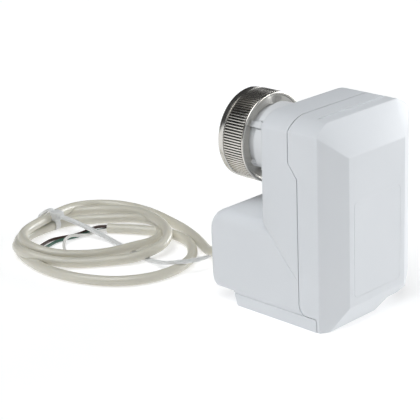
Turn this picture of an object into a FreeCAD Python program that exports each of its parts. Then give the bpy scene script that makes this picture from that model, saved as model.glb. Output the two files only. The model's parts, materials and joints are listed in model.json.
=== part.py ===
"""Motorised actuator head for a screw-on valve body, with its lead.

Frame: +Z up, +X to the right seen from the front, +Y towards the valve.
The origin is under the middle of the body, on the surface it stands on.
Millimetres throughout.
"""
import FreeCAD, Part
import math
import os
import re

from FreeCAD import Placement, Rotation, Vector
import Sketcher

# Driving dimensions: alias, value in mm (or degrees, or a count), meaning.
DIMENSIONS = [
    ("half_width", 26.0, "half of the body's width"),
    ("body_top", 78.3, "height of the flat top"),
    ("front_y", -31.25, "front face of the cover"),
    ("bevel_y", -25.25, "where the side walls turn into the front bevels"),
    ("front_half", 15.95, "half width of the front face"),
    ("face_bottom", 8.3, "lower edge of the front face"),
    ("face_top", 65.3, "upper edge of the front face, where the brow starts"),
    ("brow_y", -24.4, "rear edge of the sloping brow"),
    ("brow_z", 77.9, "height of the brow's rear edge"),
    ("crown_y", -19.35, "front edge of the flat top"),
    ("corner_in", 8.65, "width of the rounded top corner"),
    ("corner_drop", 4.57, "height of the rounded top corner"),
    ("corner_radius", 14.0, "radius of the rounded top corner"),
    ("facet_half", 20.0, "half width between the inner tips of the brow's side facets"),
    ("facet_z", 77.5, "height of those tips"),
    ("seam_high_y", -11.25, "parting line above the jog"),
    ("seam_low_y", -15.35, "parting line below the jog"),
    ("jog_top", 62.2, "upper end of the jog"),
    ("jog_bottom", 56.8, "lower end of the jog"),
    ("seam_gap", 0.4, "groove between the cover and the housing"),
    ("seam_turn", 2.1, "how far the parting line curves forward at its foot"),
    ("foot_front_y", -23.25, "parting line across the bottom rib"),
    ("back_y", 2.15, "rear face of the upper block"),
    ("box_back_y", 30.65, "rear face of the motor box"),
    ("box_half", 25.3, "half width of the motor box"),
    ("box_top", 36.4, "top of the motor box"),
    ("floor_z", 4.4, "underside of the housing"),
    ("box_round", 9.0, "radius of the motor box's upper edges"),
    ("heel_in", 12.5, "width of the underside's right chamfer"),
    ("heel_z", 9.0, "height at which that chamfer ends"),
    ("rib_left", -25.5, "left face of the bottom rib"),
    ("rib_flat", 3.0, "right end of the rib's flat underside"),
    ("rib_right", 8.0, "right end of the rib at its top"),
    ("rib_back_y", 15.5, "rear end of the rib at its top"),
    ("rib_front_y", -27.25, "front end of the rib"),
    ("wall", 2.0, "wall thickness"),
    ("inner_half", 23.3, "half width of the space inside"),
    ("axis_z", 59.8, "height of the valve axis"),
    ("nut_start", 19.05, "near end of the coupling nut"),
    ("nut_end", 31.25, "valve end of the coupling nut"),
    ("nut_radius", 17.5, "outside radius of the coupling nut"),
    ("thread_radius", 14.2, "wall radius of the nut's valve thread"),
    ("thread_start", 24.0, "inner end of the valve thread"),
    ("neck_radius", 12.4, "radius of the neck inside the nut"),
    ("collar_radius", 14.2, "radius of the castellated collar"),
    ("neck_end", 23.8, "valve seat at the end of the neck"),
    ("neck_bore", 8.6, "bore of the neck"),
    ("pin_radius", 4.0, "radius of the push pin"),
    ("module", 0.5, "module of the gears"),
    ("tooth_slack", 0.05, "thinning of every tooth at the pitch circle"),
    ("centre_slack", 0.06, "extra distance between meshing gears"),
    ("teeth_output", 48, "teeth of the output gear"),
    ("teeth_upper_wheel", 36, "teeth of the upper idler's wheel"),
    ("teeth_lower_wheel", 40, "teeth of the lower idler's wheel"),
    ("teeth_pinion", 16, "teeth of each pinion"),
    ("face_width", 2.8, "width of every gear"),
    ("layer_a", -4.4, "front face of the gears next to the rear wall"),
    ("layer_b", -7.6, "front face of the middle gears"),
    ("layer_c", -10.8, "front face of the gears next to the bridge"),
    ("lower_idler_x", -6.5, "side offset of the lower idler"),
    ("motor_z", 20.0, "height of the motor axis"),
    ("motor_radius", 12.0, "radius of the motor can"),
    ("motor_length", 20.0, "length of the motor can"),
    ("axle_radius", 0.75, "radius of the idler axles"),
    ("running_gap", 0.05, "radial clearance of everything that turns on a pin"),
    ("bridge_y", -13.2, "front face of the gear bridge"),
    ("bridge_thick", 1.6, "thickness of the gear bridge"),
    ("bracket_thick", 1.2, "thickness of the motor bracket"),
    ("board_y", -18.0, "front face of the circuit board"),
    ("board_thick", 1.6, "thickness of the circuit board"),
    ("board_half", 19.5, "half width of the circuit board"),
    ("board_bottom", 14.0, "lower edge of the circuit board"),
    ("board_top", 64.0, "upper edge of the circuit board"),
    ("panel_half", 13.3, "half width of the label panel"),
    ("panel_bottom", 11.3, "lower edge of the label panel"),
    ("panel_top", 48.2, "upper edge of the label panel"),
    ("panel_depth", 0.35, "depth of the label recess"),
    ("cable_x", -2.0, "side position of the cable outlet"),
    ("cable_z", 10.6, "height of the cable outlet"),
    ("cable_radius", 2.1, "radius of the cable"),
    ("wire_radius", 0.65, "radius of one insulated conductor"),
]

doc = FreeCAD.newDocument("actuator_head")
sheet = doc.addObject("Spreadsheet::Sheet", "dims")
for row, (alias, value, meaning) in enumerate(DIMENSIONS, start=1):
    sheet.set("A%d" % row, alias)
    sheet.set("B%d" % row, str(value))
    sheet.setAlias("B%d" % row, alias)
    sheet.set("C%d" % row, meaning)
doc.recompute()

ALIASES = {alias for alias, _, _ in DIMENSIONS}
PARTS = []


# ---- expressions and sketches ------------------------------------------------------

def bound(text):
    """The expression with every alias pointing at its cell."""
    return re.sub(r"[a-z_]+", lambda m: "dims." + m.group() if m.group() in ALIASES else m.group(), str(text))


def number(text):
    """The expression's value now."""
    return float(sheet.evalExpression(bound(text)))


def new_body(label, placement=None):
    body = doc.addObject("PartDesign::Body", label)
    body.Label = label
    if placement:
        body.Placement = placement
    PARTS.append(body)
    return body


def along_y(x, y, z, turn=0.0):
    """Placement that lays a part's own Z axis along +Y, after turning it about that axis."""
    lay_down = Rotation(Vector(1, 0, 0), -90)
    return Placement(Vector(number(x), number(y), number(z)), lay_down * Rotation(Vector(0, 0, 1), turn))


def new_sketch(body, role, level="0"):
    """An empty sketch on one of the body's origin planes, moved to a level along its third axis."""
    base = next(item for item in body.Origin.OriginFeatures if item.Role == role)
    sketch = body.newObject("Sketcher::SketchObject", body.Label + "_sketch")
    sketch.AttachmentSupport = [(base, "")]
    sketch.MapMode = "FlatFace"
    sign = "-" if role == "XZ_Plane" else ""
    sketch.setExpression("AttachmentOffset.Base.z", "%s(%s)" % (sign, bound(level)))
    return sketch


def pin_down(sketch, item, end, across, up):
    """Tie one point of a sketch to two expressions."""
    for kind, axis, text in (("DistanceX", -2, across), ("DistanceY", -1, up)):
        value = number(text)
        if abs(value) < 1e-9:
            sketch.addConstraint(Sketcher.Constraint("PointOnObject", item, end, axis))
        elif value > 0:
            index = sketch.addConstraint(Sketcher.Constraint(kind, -1, 1, item, end, value))
            sketch.setExpression("Constraints[%d]" % index, bound(text))
        else:
            index = sketch.addConstraint(Sketcher.Constraint(kind, item, end, -1, 1, -value))
            sketch.setExpression("Constraints[%d]" % index, "-(%s)" % bound(text))


def draw_outline(sketch, points):
    """A closed outline. A third entry in a point bends the next edge: its radius, positive to the left."""
    corners = [Vector(number(p[0]), number(p[1]), 0) for p in points]
    for index, point in enumerate(points):
        start = corners[index]
        end = corners[(index + 1) % len(points)]
        if len(point) == 3:
            radius = number(point[2])
            chord = end - start
            side = Vector(chord.y, -chord.x, 0).normalize() * math.copysign(1, radius)
            bulge = abs(radius) - math.sqrt(radius * radius - chord.Length ** 2 / 4)
            add_arc(sketch, start, (start + end) / 2 - side * bulge, end)
        else:
            sketch.addGeometry(Part.LineSegment(start, end))
    for index, point in enumerate(points):
        following = (index + 1) % len(points)
        this_end = end_nearest(sketch, index, corners[following])
        next_start = end_nearest(sketch, following, corners[following])
        sketch.addConstraint(Sketcher.Constraint("Coincident", index, this_end, following, next_start))
    for index, point in enumerate(points):
        pin_down(sketch, index, end_nearest(sketch, index, corners[index]), point[0], point[1])
        if len(point) == 3:
            radius = Sketcher.Constraint("Radius", index, abs(number(point[2])))
            sketch.setExpression("Constraints[%d]" % sketch.addConstraint(radius), "abs(%s)" % bound(point[2]))


def add_arc(sketch, start, middle, end):
    """An arc through three points, stored anticlockwise as a sketch keeps it."""
    if (middle - start).cross(end - middle).z < 0:
        start, end = end, start
    sketch.addGeometry(Part.Arc(start, middle, end))


def end_nearest(sketch, item, corner):
    """Which end of a sketch item, 1 or 2, lies on a corner."""
    edge = sketch.Geometry[item]
    return 1 if edge.StartPoint.distanceToPoint(corner) < edge.EndPoint.distanceToPoint(corner) else 2


def draw_circle(sketch, across, up, radius):
    centre = Vector(number(across), number(up), 0)
    item = sketch.addGeometry(Part.Circle(centre, Vector(0, 0, 1), number(radius)))
    pin_down(sketch, item, 3, across, up)
    index = sketch.addConstraint(Sketcher.Constraint("Radius", item, number(radius)))
    sketch.setExpression("Constraints[%d]" % index, bound(radius))


# ---- features ----------------------------------------------------------------------

def sweep(body, role, low, high, draw, cut=False):
    """Pad or pocket a sketch between two levels of the plane's third axis."""
    level = high if role == "XZ_Plane" else low
    sketch = new_sketch(body, role, level)
    draw(sketch)
    before = body.Shape.Volume if body.Tip else 0.0
    kind = "PartDesign::Pocket" if cut else "PartDesign::Pad"
    feature = body.newObject(kind, body.Label + ("_pocket" if cut else "_pad"))
    feature.Profile = sketch
    feature.setExpression("Length", "(%s) - (%s)" % (bound(high), bound(low)))
    feature.Reversed = cut
    doc.recompute()
    after = body.Shape.Volume
    if (cut and after >= before - 1e-6) or (not cut and after <= before + 1e-6):
        raise RuntimeError("%s: %s changed nothing" % (body.Label, feature.Name))
    return feature


def slab(body, role, low, high, points, cut=False):
    return sweep(body, role, low, high, lambda sketch: draw_outline(sketch, points), cut)


def disc(body, role, low, high, across, up, radius, cut=False):
    return sweep(body, role, low, high, lambda sketch: draw_circle(sketch, across, up, radius), cut)


def block(body, role, low, high, left, right, bottom, top, cut=False):
    """A rectangular slab."""
    corners = [(left, bottom), (right, bottom), (right, top), (left, top)]
    return slab(body, role, low, high, corners, cut)


def turned(body, points, cut=False):
    """Revolve a half outline of (radius, height) points about the body's own Z axis."""
    sketch = new_sketch(body, "XZ_Plane")
    draw_outline(sketch, points)
    kind = "PartDesign::Groove" if cut else "PartDesign::Revolution"
    feature = body.newObject(kind, body.Label + "_turned")
    feature.Profile = sketch
    feature.ReferenceAxis = (sketch, ["V_Axis"])
    feature.Angle = 360
    doc.recompute()
    return feature


def repeat(body, feature, count, axis="N_Axis", angle=360.0):
    """Copies of a feature round the axis through its sketch's origin."""
    pattern = body.newObject("PartDesign::PolarPattern", body.Label + "_pattern")
    pattern.Originals = [feature]
    pattern.Axis = (feature.Profile[0], [axis])
    pattern.Angle = angle
    pattern.setExpression("Occurrences", bound(count))
    body.Tip = pattern
    doc.recompute()
    return pattern


def soften(body, radius, chosen, chamfer=False):
    """Round or chamfer the edges for which chosen(edge) is true."""
    base = body.Tip
    names = ["Edge%d" % n for n, edge in enumerate(base.Shape.Edges, start=1) if chosen(edge)]
    if not names:
        raise RuntimeError("%s: no edge to soften" % body.Label)
    kind = "PartDesign::Chamfer" if chamfer else "PartDesign::Fillet"
    feature = body.newObject(kind, body.Label + "_edges")
    feature.Base = (base, names)
    feature.setExpression("Size" if chamfer else "Radius", bound(radius))
    doc.recompute()
    if feature.Shape.isNull() or not feature.Shape.isValid():
        raise RuntimeError("%s: edges could not be softened" % body.Label)
    return feature


def near(value, target, tolerance=0.02):
    return abs(value - number(target)) < tolerance


def runs_along(edge, axis):
    """True for an edge whose ends differ only along one axis, 0 for X, 1 for Y or 2 for Z."""
    if len(edge.Vertexes) < 2:
        return False
    step = edge.Vertexes[1].Point - edge.Vertexes[0].Point
    return all(abs(step[i]) < 1e-4 for i in range(3) if i != axis) and abs(step[axis]) > 1e-3


# ---- gears -------------------------------------------------------------------------

PRESSURE_ANGLE = math.radians(20)


def involute(angle):
    return math.tan(angle) - angle


def gear_teeth(body, count_alias, low):
    """A toothed wheel between two levels of the body's own Z axis, one tooth centred on its +X axis."""
    module = number("module")
    count = int(number(count_alias))
    pitch = module * count / 2
    base = pitch * math.cos(PRESSURE_ANGLE)
    root = pitch - 1.2 * module
    tip = pitch + 0.95 * module
    half_at_pitch = math.pi / (2 * count) - number("tooth_slack") / (2 * pitch)

    def flank(radius, side):
        angle = half_at_pitch + involute(PRESSURE_ANGLE)
        if radius > base:
            angle -= involute(math.acos(base / radius))
        return Vector(radius * math.cos(angle), side * radius * math.sin(angle), 0)

    start = max(base, root)
    sunk = root - 0.2
    middle = (start + tip) / 2

    def draw(sketch):
        low_right, low_left = flank(sunk, -1), flank(sunk, 1)
        sketch.addGeometry(Part.LineSegment(low_right, flank(start, -1)))
        add_arc(sketch, flank(start, -1), flank(middle, -1), flank(tip, -1))
        sketch.addGeometry(Part.LineSegment(flank(tip, -1), flank(tip, 1)))
        add_arc(sketch, flank(tip, 1), flank(middle, 1), flank(start, 1))
        sketch.addGeometry(Part.LineSegment(flank(start, 1), low_left))
        sketch.addGeometry(Part.LineSegment(low_left, low_right))

    high = "(%s) + face_width" % low
    disc(body, "XY_Plane", low, high, "0", "0", "module * (%s / 2 - 1.2)" % count_alias)
    tooth = sweep(body, "XY_Plane", low, high, draw)
    repeat(body, tooth, count_alias)


def ratio_distance(teeth_a, teeth_b):
    """Distance between the axes of two meshing gears."""
    return number("module * (%s + %s) / 2 + centre_slack" % (teeth_a, teeth_b))


def gear_axes():
    """Where the gear axes stand, as (x, z): motor, lower idler, upper idler, output."""
    motor = (0.0, number("motor_z"))
    output = (0.0, number("axis_z"))
    first = ratio_distance("teeth_pinion", "teeth_lower_wheel")
    second = ratio_distance("teeth_pinion", "teeth_upper_wheel")
    third = ratio_distance("teeth_pinion", "teeth_output")
    lower_x = number("lower_idler_x")
    lower = (lower_x, motor[1] + math.sqrt(first ** 2 - lower_x ** 2))
    span = math.hypot(output[0] - lower[0], output[1] - lower[1])
    along = (second ** 2 - third ** 2 + span ** 2) / (2 * span)
    aside = math.sqrt(second ** 2 - along ** 2)
    unit = ((output[0] - lower[0]) / span, (output[1] - lower[1]) / span)
    upper = (lower[0] + along * unit[0] + aside * unit[1], lower[1] + along * unit[1] - aside * unit[0])
    return motor, lower, upper, output


def meshing_turn(axis_a, turn_a, teeth_a, axis_b, teeth_b):
    """Turn in degrees that puts gear B's gaps on gear A's teeth, both seen along their own Z axes."""
    heading = math.atan2(-(axis_b[1] - axis_a[1]), axis_b[0] - axis_a[0])
    shift = math.pi - number(teeth_a) * (math.radians(turn_a) - heading)
    return math.degrees(heading + math.pi + shift / number(teeth_b))


# ---- casing ------------------------------------------------------------------------

def trim_top_corners(body, low, high):
    """Round off the two long top corners."""
    for side in ("", "-"):
        edge_x = side + "half_width"
        inner_x = "%s(half_width - corner_in)" % side
        out_x = "%s(half_width + 1)" % side
        bend = "corner_radius" if side else "-corner_radius"
        points = [(edge_x, "body_top - corner_drop", bend), (inner_x, "body_top"),
                  (inner_x, "body_top + 1"), (out_x, "body_top + 1"), (out_x, "body_top - corner_drop")]
        slab(body, "XZ_Plane", low, high, points, cut=True)


def trim_heel(body, low, high):
    """Slope the underside's right corner."""
    points = [("half_width - heel_in", "floor_z"), ("half_width + 1", "heel_z + 1 / heel_in * (heel_z - floor_z)"),
              ("half_width + 1", "floor_z - 2"), ("half_width - heel_in", "floor_z - 2")]
    slab(body, "XZ_Plane", low, high, points, cut=True)


def rear_housing():
    body = new_body("rear_housing")
    block_side = [("back_y", "body_top"), ("seam_high_y", "body_top"), ("seam_high_y", "jog_top"),
                  ("seam_low_y", "jog_bottom"), ("seam_low_y", "17.7"), ("-14.85", "18.2"), ("-1.65", "33.4"),
                  ("back_y", "box_top + 1.1")]
    slab(body, "YZ_Plane", "-half_width", "half_width", block_side)
    trim_top_corners(body, "seam_high_y - 5", "back_y + 1")
    soften(body, "2.2", lambda e: runs_along(e, 2) and near(e.Vertexes[0].Y, "back_y")
           and abs(abs(e.Vertexes[0].X) - number("half_width")) < 0.02)
    box = [("-box_half", "floor_z"), ("half_width - heel_in", "floor_z"), ("box_half", "heel_z"),
           ("box_half", "box_top"), ("-box_half", "box_top")]
    slab(body, "XZ_Plane", "seam_low_y", "box_back_y", box)

    def upper_box_edge(edge):
        start = edge.Vertexes[0].Point
        corner = near(start.z, "box_top") and abs(abs(start.x) - number("box_half")) < 0.02
        return runs_along(edge, 1) and corner and max(v.Y for v in edge.Vertexes) > 20
    soften(body, "box_round", upper_box_edge)

    def rear_box_edge(edge):
        on_back = all(near(v.Y, "box_back_y") for v in edge.Vertexes)
        return on_back and len(edge.Vertexes) > 1
    soften(body, "3.2", rear_box_edge)
    rib = [("rib_left", "0"), ("rib_flat", "0"), ("rib_right", "floor_z"), ("rib_left", "floor_z")]
    slab(body, "XZ_Plane", "foot_front_y", "rib_back_y", rib)
    soften(body, "0.9", lambda e: all(near(v.Z, "0") for v in e.Vertexes) and len(e.Vertexes) > 1
           and not all(near(v.Y, "foot_front_y") for v in e.Vertexes))
    hollow_housing(body)
    add_housing_bosses(body)
    return body


def hollow_housing(body):
    """Four overlapping pockets: upper block, behind the seam, the gear well and the motor box."""
    block_room = [("-inner_half", "box_top + 4"), ("inner_half", "box_top + 4"),
                  ("inner_half", "body_top - corner_drop - 1"), ("half_width - corner_in", "body_top - wall"),
                  ("corner_in - half_width", "body_top - wall"), ("-inner_half", "body_top - corner_drop - 1")]
    slab(body, "XZ_Plane", "seam_low_y - 1", "back_y - wall", block_room, cut=True)
    seam_room = [("-inner_half", "floor_z + wall"), ("half_width - heel_in", "floor_z + wall"),
                 ("inner_half", "heel_z + wall"), ("inner_half", "box_top + 5"), ("-inner_half", "box_top + 5")]
    slab(body, "XZ_Plane", "seam_low_y - 1", "-6", seam_room, cut=True)
    block(body, "XZ_Plane", "-7", "back_y - wall", "-15", "15", "box_top - 8", "box_top + 5", cut=True)
    box_room = [("-inner_half", "floor_z + wall"), ("half_width - heel_in", "floor_z + wall"),
                ("inner_half", "heel_z + wall"), ("inner_half", "box_top - 8"), ("inner_half - 7", "box_top - wall"),
                ("7 - inner_half", "box_top - wall"), ("-inner_half", "box_top - 8")]
    slab(body, "XZ_Plane", "-7", "box_back_y - wall", box_room, cut=True)


def add_housing_bosses(body):
    motor, lower, upper, output = gear_axes()
    for x, z in BRIDGE_POSTS:
        disc(body, "XZ_Plane", "bridge_y + bridge_thick", "back_y - wall + 0.5", x, z, "2.6")
        disc(body, "XZ_Plane", "bridge_y", "bridge_y + 10", x, z, "0.8", cut=True)
    for x, z in BRACKET_POSTS:
        disc(body, "XZ_Plane", "back_y - wall", "box_back_y - wall + 0.5", x, z, "2.6")
        disc(body, "XZ_Plane", "back_y - wall - 1", "back_y - wall + 9", x, z, "0.8", cut=True)
    for x, z in COVER_SCREWS:
        disc(body, "XZ_Plane", "back_y - wall - 1.4", "back_y - 1", x, z, "4.2")
        disc(body, "XZ_Plane", "back_y - 1.8", "back_y + 1", x, z, "3.0", cut=True)
        disc(body, "XZ_Plane", "back_y - 8", "back_y - 1", x, z, "1.6", cut=True)
    disc(body, "XZ_Plane", "back_y - wall", "back_y - wall + 1.4", str(upper[0]), str(upper[1]), "axle_radius", cut=True)
    disc(body, "XZ_Plane", "back_y - wall - 1", "back_y + 1", "0", "axis_z", "neck_radius", cut=True)
    disc(body, "XZ_Plane", "box_back_y - wall - 1", "box_back_y + 1", "cable_x", "cable_z", "cable_radius + 1.2",
         cut=True)


BRIDGE_POSTS = [("-18.5", "52"), ("18.5", "52")]
BRACKET_POSTS = [("-19.5", "25"), ("19.5", "15")]
COVER_SCREWS = [("-19", "69.5"), ("19", "69.5")]
BOARD_POSTS = [("-14", "45"), ("14", "45"), ("14", "19")]
STANDOFF = ("13", "31")


def front_cover():
    body = new_body("front_cover")
    back_high = "seam_high_y - seam_gap"
    back_low = "seam_low_y - seam_gap"
    side = [(back_high, "body_top"), ("crown_y", "body_top"), ("brow_y", "brow_z"), ("front_y", "face_top"),
            ("front_y", "face_bottom"), ("rib_front_y", "floor_z - 0.8"), ("foot_front_y - seam_gap", "floor_z - 0.8"),
            ("foot_front_y - seam_gap", "floor_z + seam_gap"), ("seam_low_y - seam_turn", "floor_z + seam_gap"),
            (back_low, "floor_z + 3.5"), (back_low, "jog_bottom"), (back_high, "jog_top")]
    slab(body, "YZ_Plane", "-half_width", "half_width", side)
    trim_top_corners(body, "front_y - 1", "seam_high_y + 1")
    trim_heel(body, "front_y - 1", "seam_low_y + 1")
    for sign in ("", "-"):
        bevel = [(sign + "half_width", "bevel_y"), (sign + "front_half", "front_y"),
                 (sign + "front_half", "front_y - 1"), ("%s(half_width + 1)" % sign, "front_y - 1"),
                 ("%s(half_width + 1)" % sign, "bevel_y")]
        slab(body, "XY_Plane", "-1", "body_top + 1", bevel, cut=True)
    trim_brow_facets(body)
    rib = [("rib_left", "0"), ("rib_flat", "0"), ("rib_right", "floor_z"), ("rib_left", "floor_z")]
    slab(body, "XZ_Plane", "rib_front_y", "foot_front_y - seam_gap", rib)
    hollow_cover(body)
    block(body, "XZ_Plane", "front_y - 1", "front_y + panel_depth", "-panel_half", "panel_half",
          "panel_bottom", "panel_top", cut=True)
    for x, z in COVER_SCREWS:
        disc(body, "XZ_Plane", "bevel_y", "back_y - wall - 1.5", x, z, "2.8")
        disc(body, "XZ_Plane", "back_y - wall - 11", "back_y", x, z, "1.3", cut=True)
    return body


def trim_brow_facets(body):
    """Slice a flat facet off each upper front corner, through three of its vertices."""
    for side in (-1, 1):
        low_tip = Vector(side * number("front_half"), number("front_y"), number("face_top"))
        side_tip = Vector(side * number("half_width"), number("bevel_y"), number("body_top - corner_drop"))
        top_tip = Vector(side * number("facet_half"), number("brow_y"), number("facet_z"))
        normal = (side_tip - low_tip).cross(top_tip - low_tip).normalize()
        if normal.z < 0:
            normal = -normal
        sketch = new_sketch(body, "XY_Plane")
        sketch.setExpression("AttachmentOffset.Base.z", None)
        sketch.AttachmentOffset = Placement(low_tip, Rotation(Vector(0, 0, 1), normal))
        draw_circle(sketch, "0", "0", "half_width + 4")
        pocket = body.newObject("PartDesign::Pocket", "front_cover_facet")
        pocket.Profile = sketch
        pocket.Length = 20
        pocket.Reversed = True
        doc.recompute()


def hollow_cover(body):
    front_in = "front_y + wall"
    room = [("-inner_half", "seam_low_y + 6"), ("-inner_half", "bevel_y + 0.8"), ("1.2 - front_half", front_in),
            ("front_half - 1.2", front_in), ("inner_half", "bevel_y + 0.8"), ("inner_half", "seam_low_y + 6")]
    slab(body, "XY_Plane", "heel_z + wall", "face_top - 1", room, cut=True)
    brow_room = [("seam_high_y + 1", "face_top - 2"), (front_in, "face_top - 2"), (front_in, "face_top - 1"),
                 ("brow_y + 1.6", "brow_z - wall"), ("seam_high_y + 1", "brow_z - wall")]
    slab(body, "YZ_Plane", "2.5 - front_half", "front_half - 2.5", brow_room, cut=True)
    block(body, "XZ_Plane", "bevel_y + 3", "seam_high_y + 1", "-inner_half", "inner_half",
          "face_top - 2", "body_top - corner_drop - 2", cut=True)
    block(body, "XZ_Plane", "foot_front_y", "seam_low_y + 1", "-inner_half", "half_width - heel_in",
          "floor_z + wall + 0.4", "heel_z + wall + 1", cut=True)


def label_panel():
    """The blank label that fills the recess in the cover."""
    body = new_body("label_panel")
    block(body, "XZ_Plane", "front_y + 0.08", "front_y + panel_depth", "0.3 - panel_half", "panel_half - 0.3",
          "panel_bottom + 0.3", "panel_top - 0.3")
    soften(body, "1.6", lambda e: runs_along(e, 1))


# ---- valve side --------------------------------------------------------------------

def valve_neck():
    body = new_body("valve_neck", along_y("0", "0", "axis_z"))
    turned(body, [("neck_bore", "back_y - wall - 1"), ("neck_radius + 1", "back_y - wall - 1"),
                  ("neck_radius + 1", "back_y - wall"), ("neck_radius", "back_y - wall"),
                  ("neck_radius", "nut_start + 2.55"), ("neck_radius - 1.4", "nut_start + 2.55"),
                  ("neck_radius - 1.4", "nut_start + 3.75"), ("neck_radius", "nut_start + 3.75"),
                  ("neck_radius", "neck_end"), ("neck_bore", "neck_end")])
    turned(body, [("neck_radius - 1", "back_y"), ("collar_radius", "back_y"), ("collar_radius", "nut_start - 3"),
                  ("neck_radius - 1", "nut_start - 3")])
    for turn in COLLAR_SLOTS:
        collar_slot_and_key(body, turn)
    guide = [("pin_radius + 0.05", "9"), ("neck_bore + 0.5", "9"), ("neck_bore + 0.5", "12"),
             ("pin_radius + 0.05", "12")]
    turned(body, guide)
    for side in ("", "-"):
        flat = [("-pin_radius", side + "(pin_radius - 0.95)"), ("pin_radius", side + "(pin_radius - 0.95)"),
                ("pin_radius", side + "(pin_radius + 1)"), ("-pin_radius", side + "(pin_radius + 1)")]
        slab(body, "XY_Plane", "9", "12", flat)


COLLAR_SLOTS = [-145.0, -35.0, 35.0, 145.0]


def collar_slot_and_key(body, turn):
    """A slot in the collar, down to the neck, and the key that stands in it, at one angle round the axis."""
    for half, outer, reach, cut in (("1.8", "collar_radius + 1", "nut_start - 3 - back_y", True),
                                    ("1.1", "collar_radius - 0.5", "nut_start + 0.8 - back_y", False)):
        sketch = new_sketch(body, "XY_Plane", "back_y")
        sketch.AttachmentOffset = Placement(sketch.AttachmentOffset.Base, Rotation(Vector(0, 0, 1), turn))
        inner = "neck_radius" if cut else "neck_radius - 0.5"
        draw_outline(sketch, [(inner, "-" + half), (outer, "-" + half), (outer, half), (inner, half)])
        feature = body.newObject("PartDesign::Pocket" if cut else "PartDesign::Pad", "collar_feature")
        feature.Profile = sketch
        feature.setExpression("Length", bound(reach))
        feature.Reversed = cut
        doc.recompute()


def coupling_nut():
    body = new_body("coupling_nut", along_y("0", "0", "axis_z"))
    turned(body, [("thread_radius", "nut_end"), ("thread_radius", "thread_start"), ("15.6", "thread_start"),
                  ("15.6", "nut_start + 2.35"), ("neck_radius + 0.2", "nut_start + 2.35"),
                  ("neck_radius + 0.2", "nut_start + 1.15"), ("16.2", "nut_start + 1.15"), ("16.2", "nut_start"),
                  ("nut_radius - 0.5", "nut_start"), ("nut_radius", "nut_start + 0.5"),
                  ("nut_radius", "nut_end - 0.4"), ("nut_radius - 0.4", "nut_end")])


def nut_retaining_ring():
    body = new_body("nut_retaining_ring", along_y("0", "0", "axis_z"))
    turned(body, [("neck_radius - 1.4", "nut_start + 2.55"), ("14.6", "nut_start + 2.55"),
                  ("14.6", "nut_start + 3.75"), ("neck_radius - 1.4", "nut_start + 3.75")])
    slab(body, "XY_Plane", "nut_start + 2", "nut_start + 5",
         [("9", "-1.5"), ("16", "-1.5"), ("16", "1.5"), ("9", "1.5")], cut=True)


def push_pin():
    """Steel stem with two flats, and the foot that presses the valve's pin."""
    body = new_body("push_pin", along_y("0", "0", "axis_z"))
    turned(body, [("0", "-3"), ("pin_radius - 0.6", "-3"), ("pin_radius", "-2.4"), ("pin_radius", "20.5"),
                  ("6", "20.5"), ("6", "22.6"), ("5.5", "23.1"), ("0", "23.1")])
    for side in ("", "-"):
        flat = [("-pin_radius - 1", side + "(pin_radius - 1)"), ("pin_radius + 1", side + "(pin_radius - 1)"),
                ("pin_radius + 1", side + "(pin_radius + 1)"), ("-pin_radius - 1", side + "(pin_radius + 1)")]
        slab(body, "XY_Plane", "2", "20.5", flat, cut=True)


def thrust_washer():
    body = new_body("thrust_washer", along_y("0", "8.15", "axis_z"))
    turned(body, [("4.6", "0"), ("7.4", "0"), ("7.4", "0.8"), ("4.6", "0.8")])


# ---- gear train --------------------------------------------------------------------

def output_gear(axis):
    body = new_body("output_gear", along_y(str(axis[0]), "0", str(axis[1])))
    gear_teeth(body, "teeth_output", "layer_a")
    turned(body, [("pin_radius + running_gap", "layer_a + face_width"), ("7", "layer_a + face_width"), ("7", "8.1"),
                  ("pin_radius + running_gap", "8.1")])
    disc(body, "XY_Plane", "bridge_y + 0.2", "layer_a", "0", "0", "3")
    disc(body, "XY_Plane", "layer_a + 0.8", "layer_a + face_width", "0", "0", "pin_radius + running_gap", cut=True)


def output_bush(axis):
    body = new_body("output_bush", along_y(str(axis[0]), "bridge_y", str(axis[1])))
    turned(body, [("3 + running_gap", "0"), ("4.5", "0"), ("4.5", "bridge_thick"), ("5.2", "bridge_thick"),
                  ("5.2", "bridge_thick + 0.6"), ("3 + running_gap", "bridge_thick + 0.6")])


def idler_gear(label, axis, turn, wheel, wheel_low, pinion_low, sleeve_low, sleeve_high):
    """A wheel and a pinion in one piece, on a sleeve that turns on an axle."""
    body = new_body(label, along_y(str(axis[0]), "0", str(axis[1]), turn))
    disc(body, "XY_Plane", sleeve_low, sleeve_high, "0", "0", "1.9")
    gear_teeth(body, wheel, wheel_low)
    gear_teeth(body, "teeth_pinion", pinion_low)
    disc(body, "XY_Plane", "(%s) - 1" % sleeve_low, "(%s) + 1" % sleeve_high, "0", "0", "axle_radius + running_gap",
         cut=True)


def axle(label, axis, low, high):
    body = new_body(label, along_y(str(axis[0]), low, str(axis[1])))
    turned(body, [("0", "0"), ("axle_radius", "0"), ("axle_radius", "(%s) - (%s)" % (high, low)),
                  ("0", "(%s) - (%s)" % (high, low))])


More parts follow.
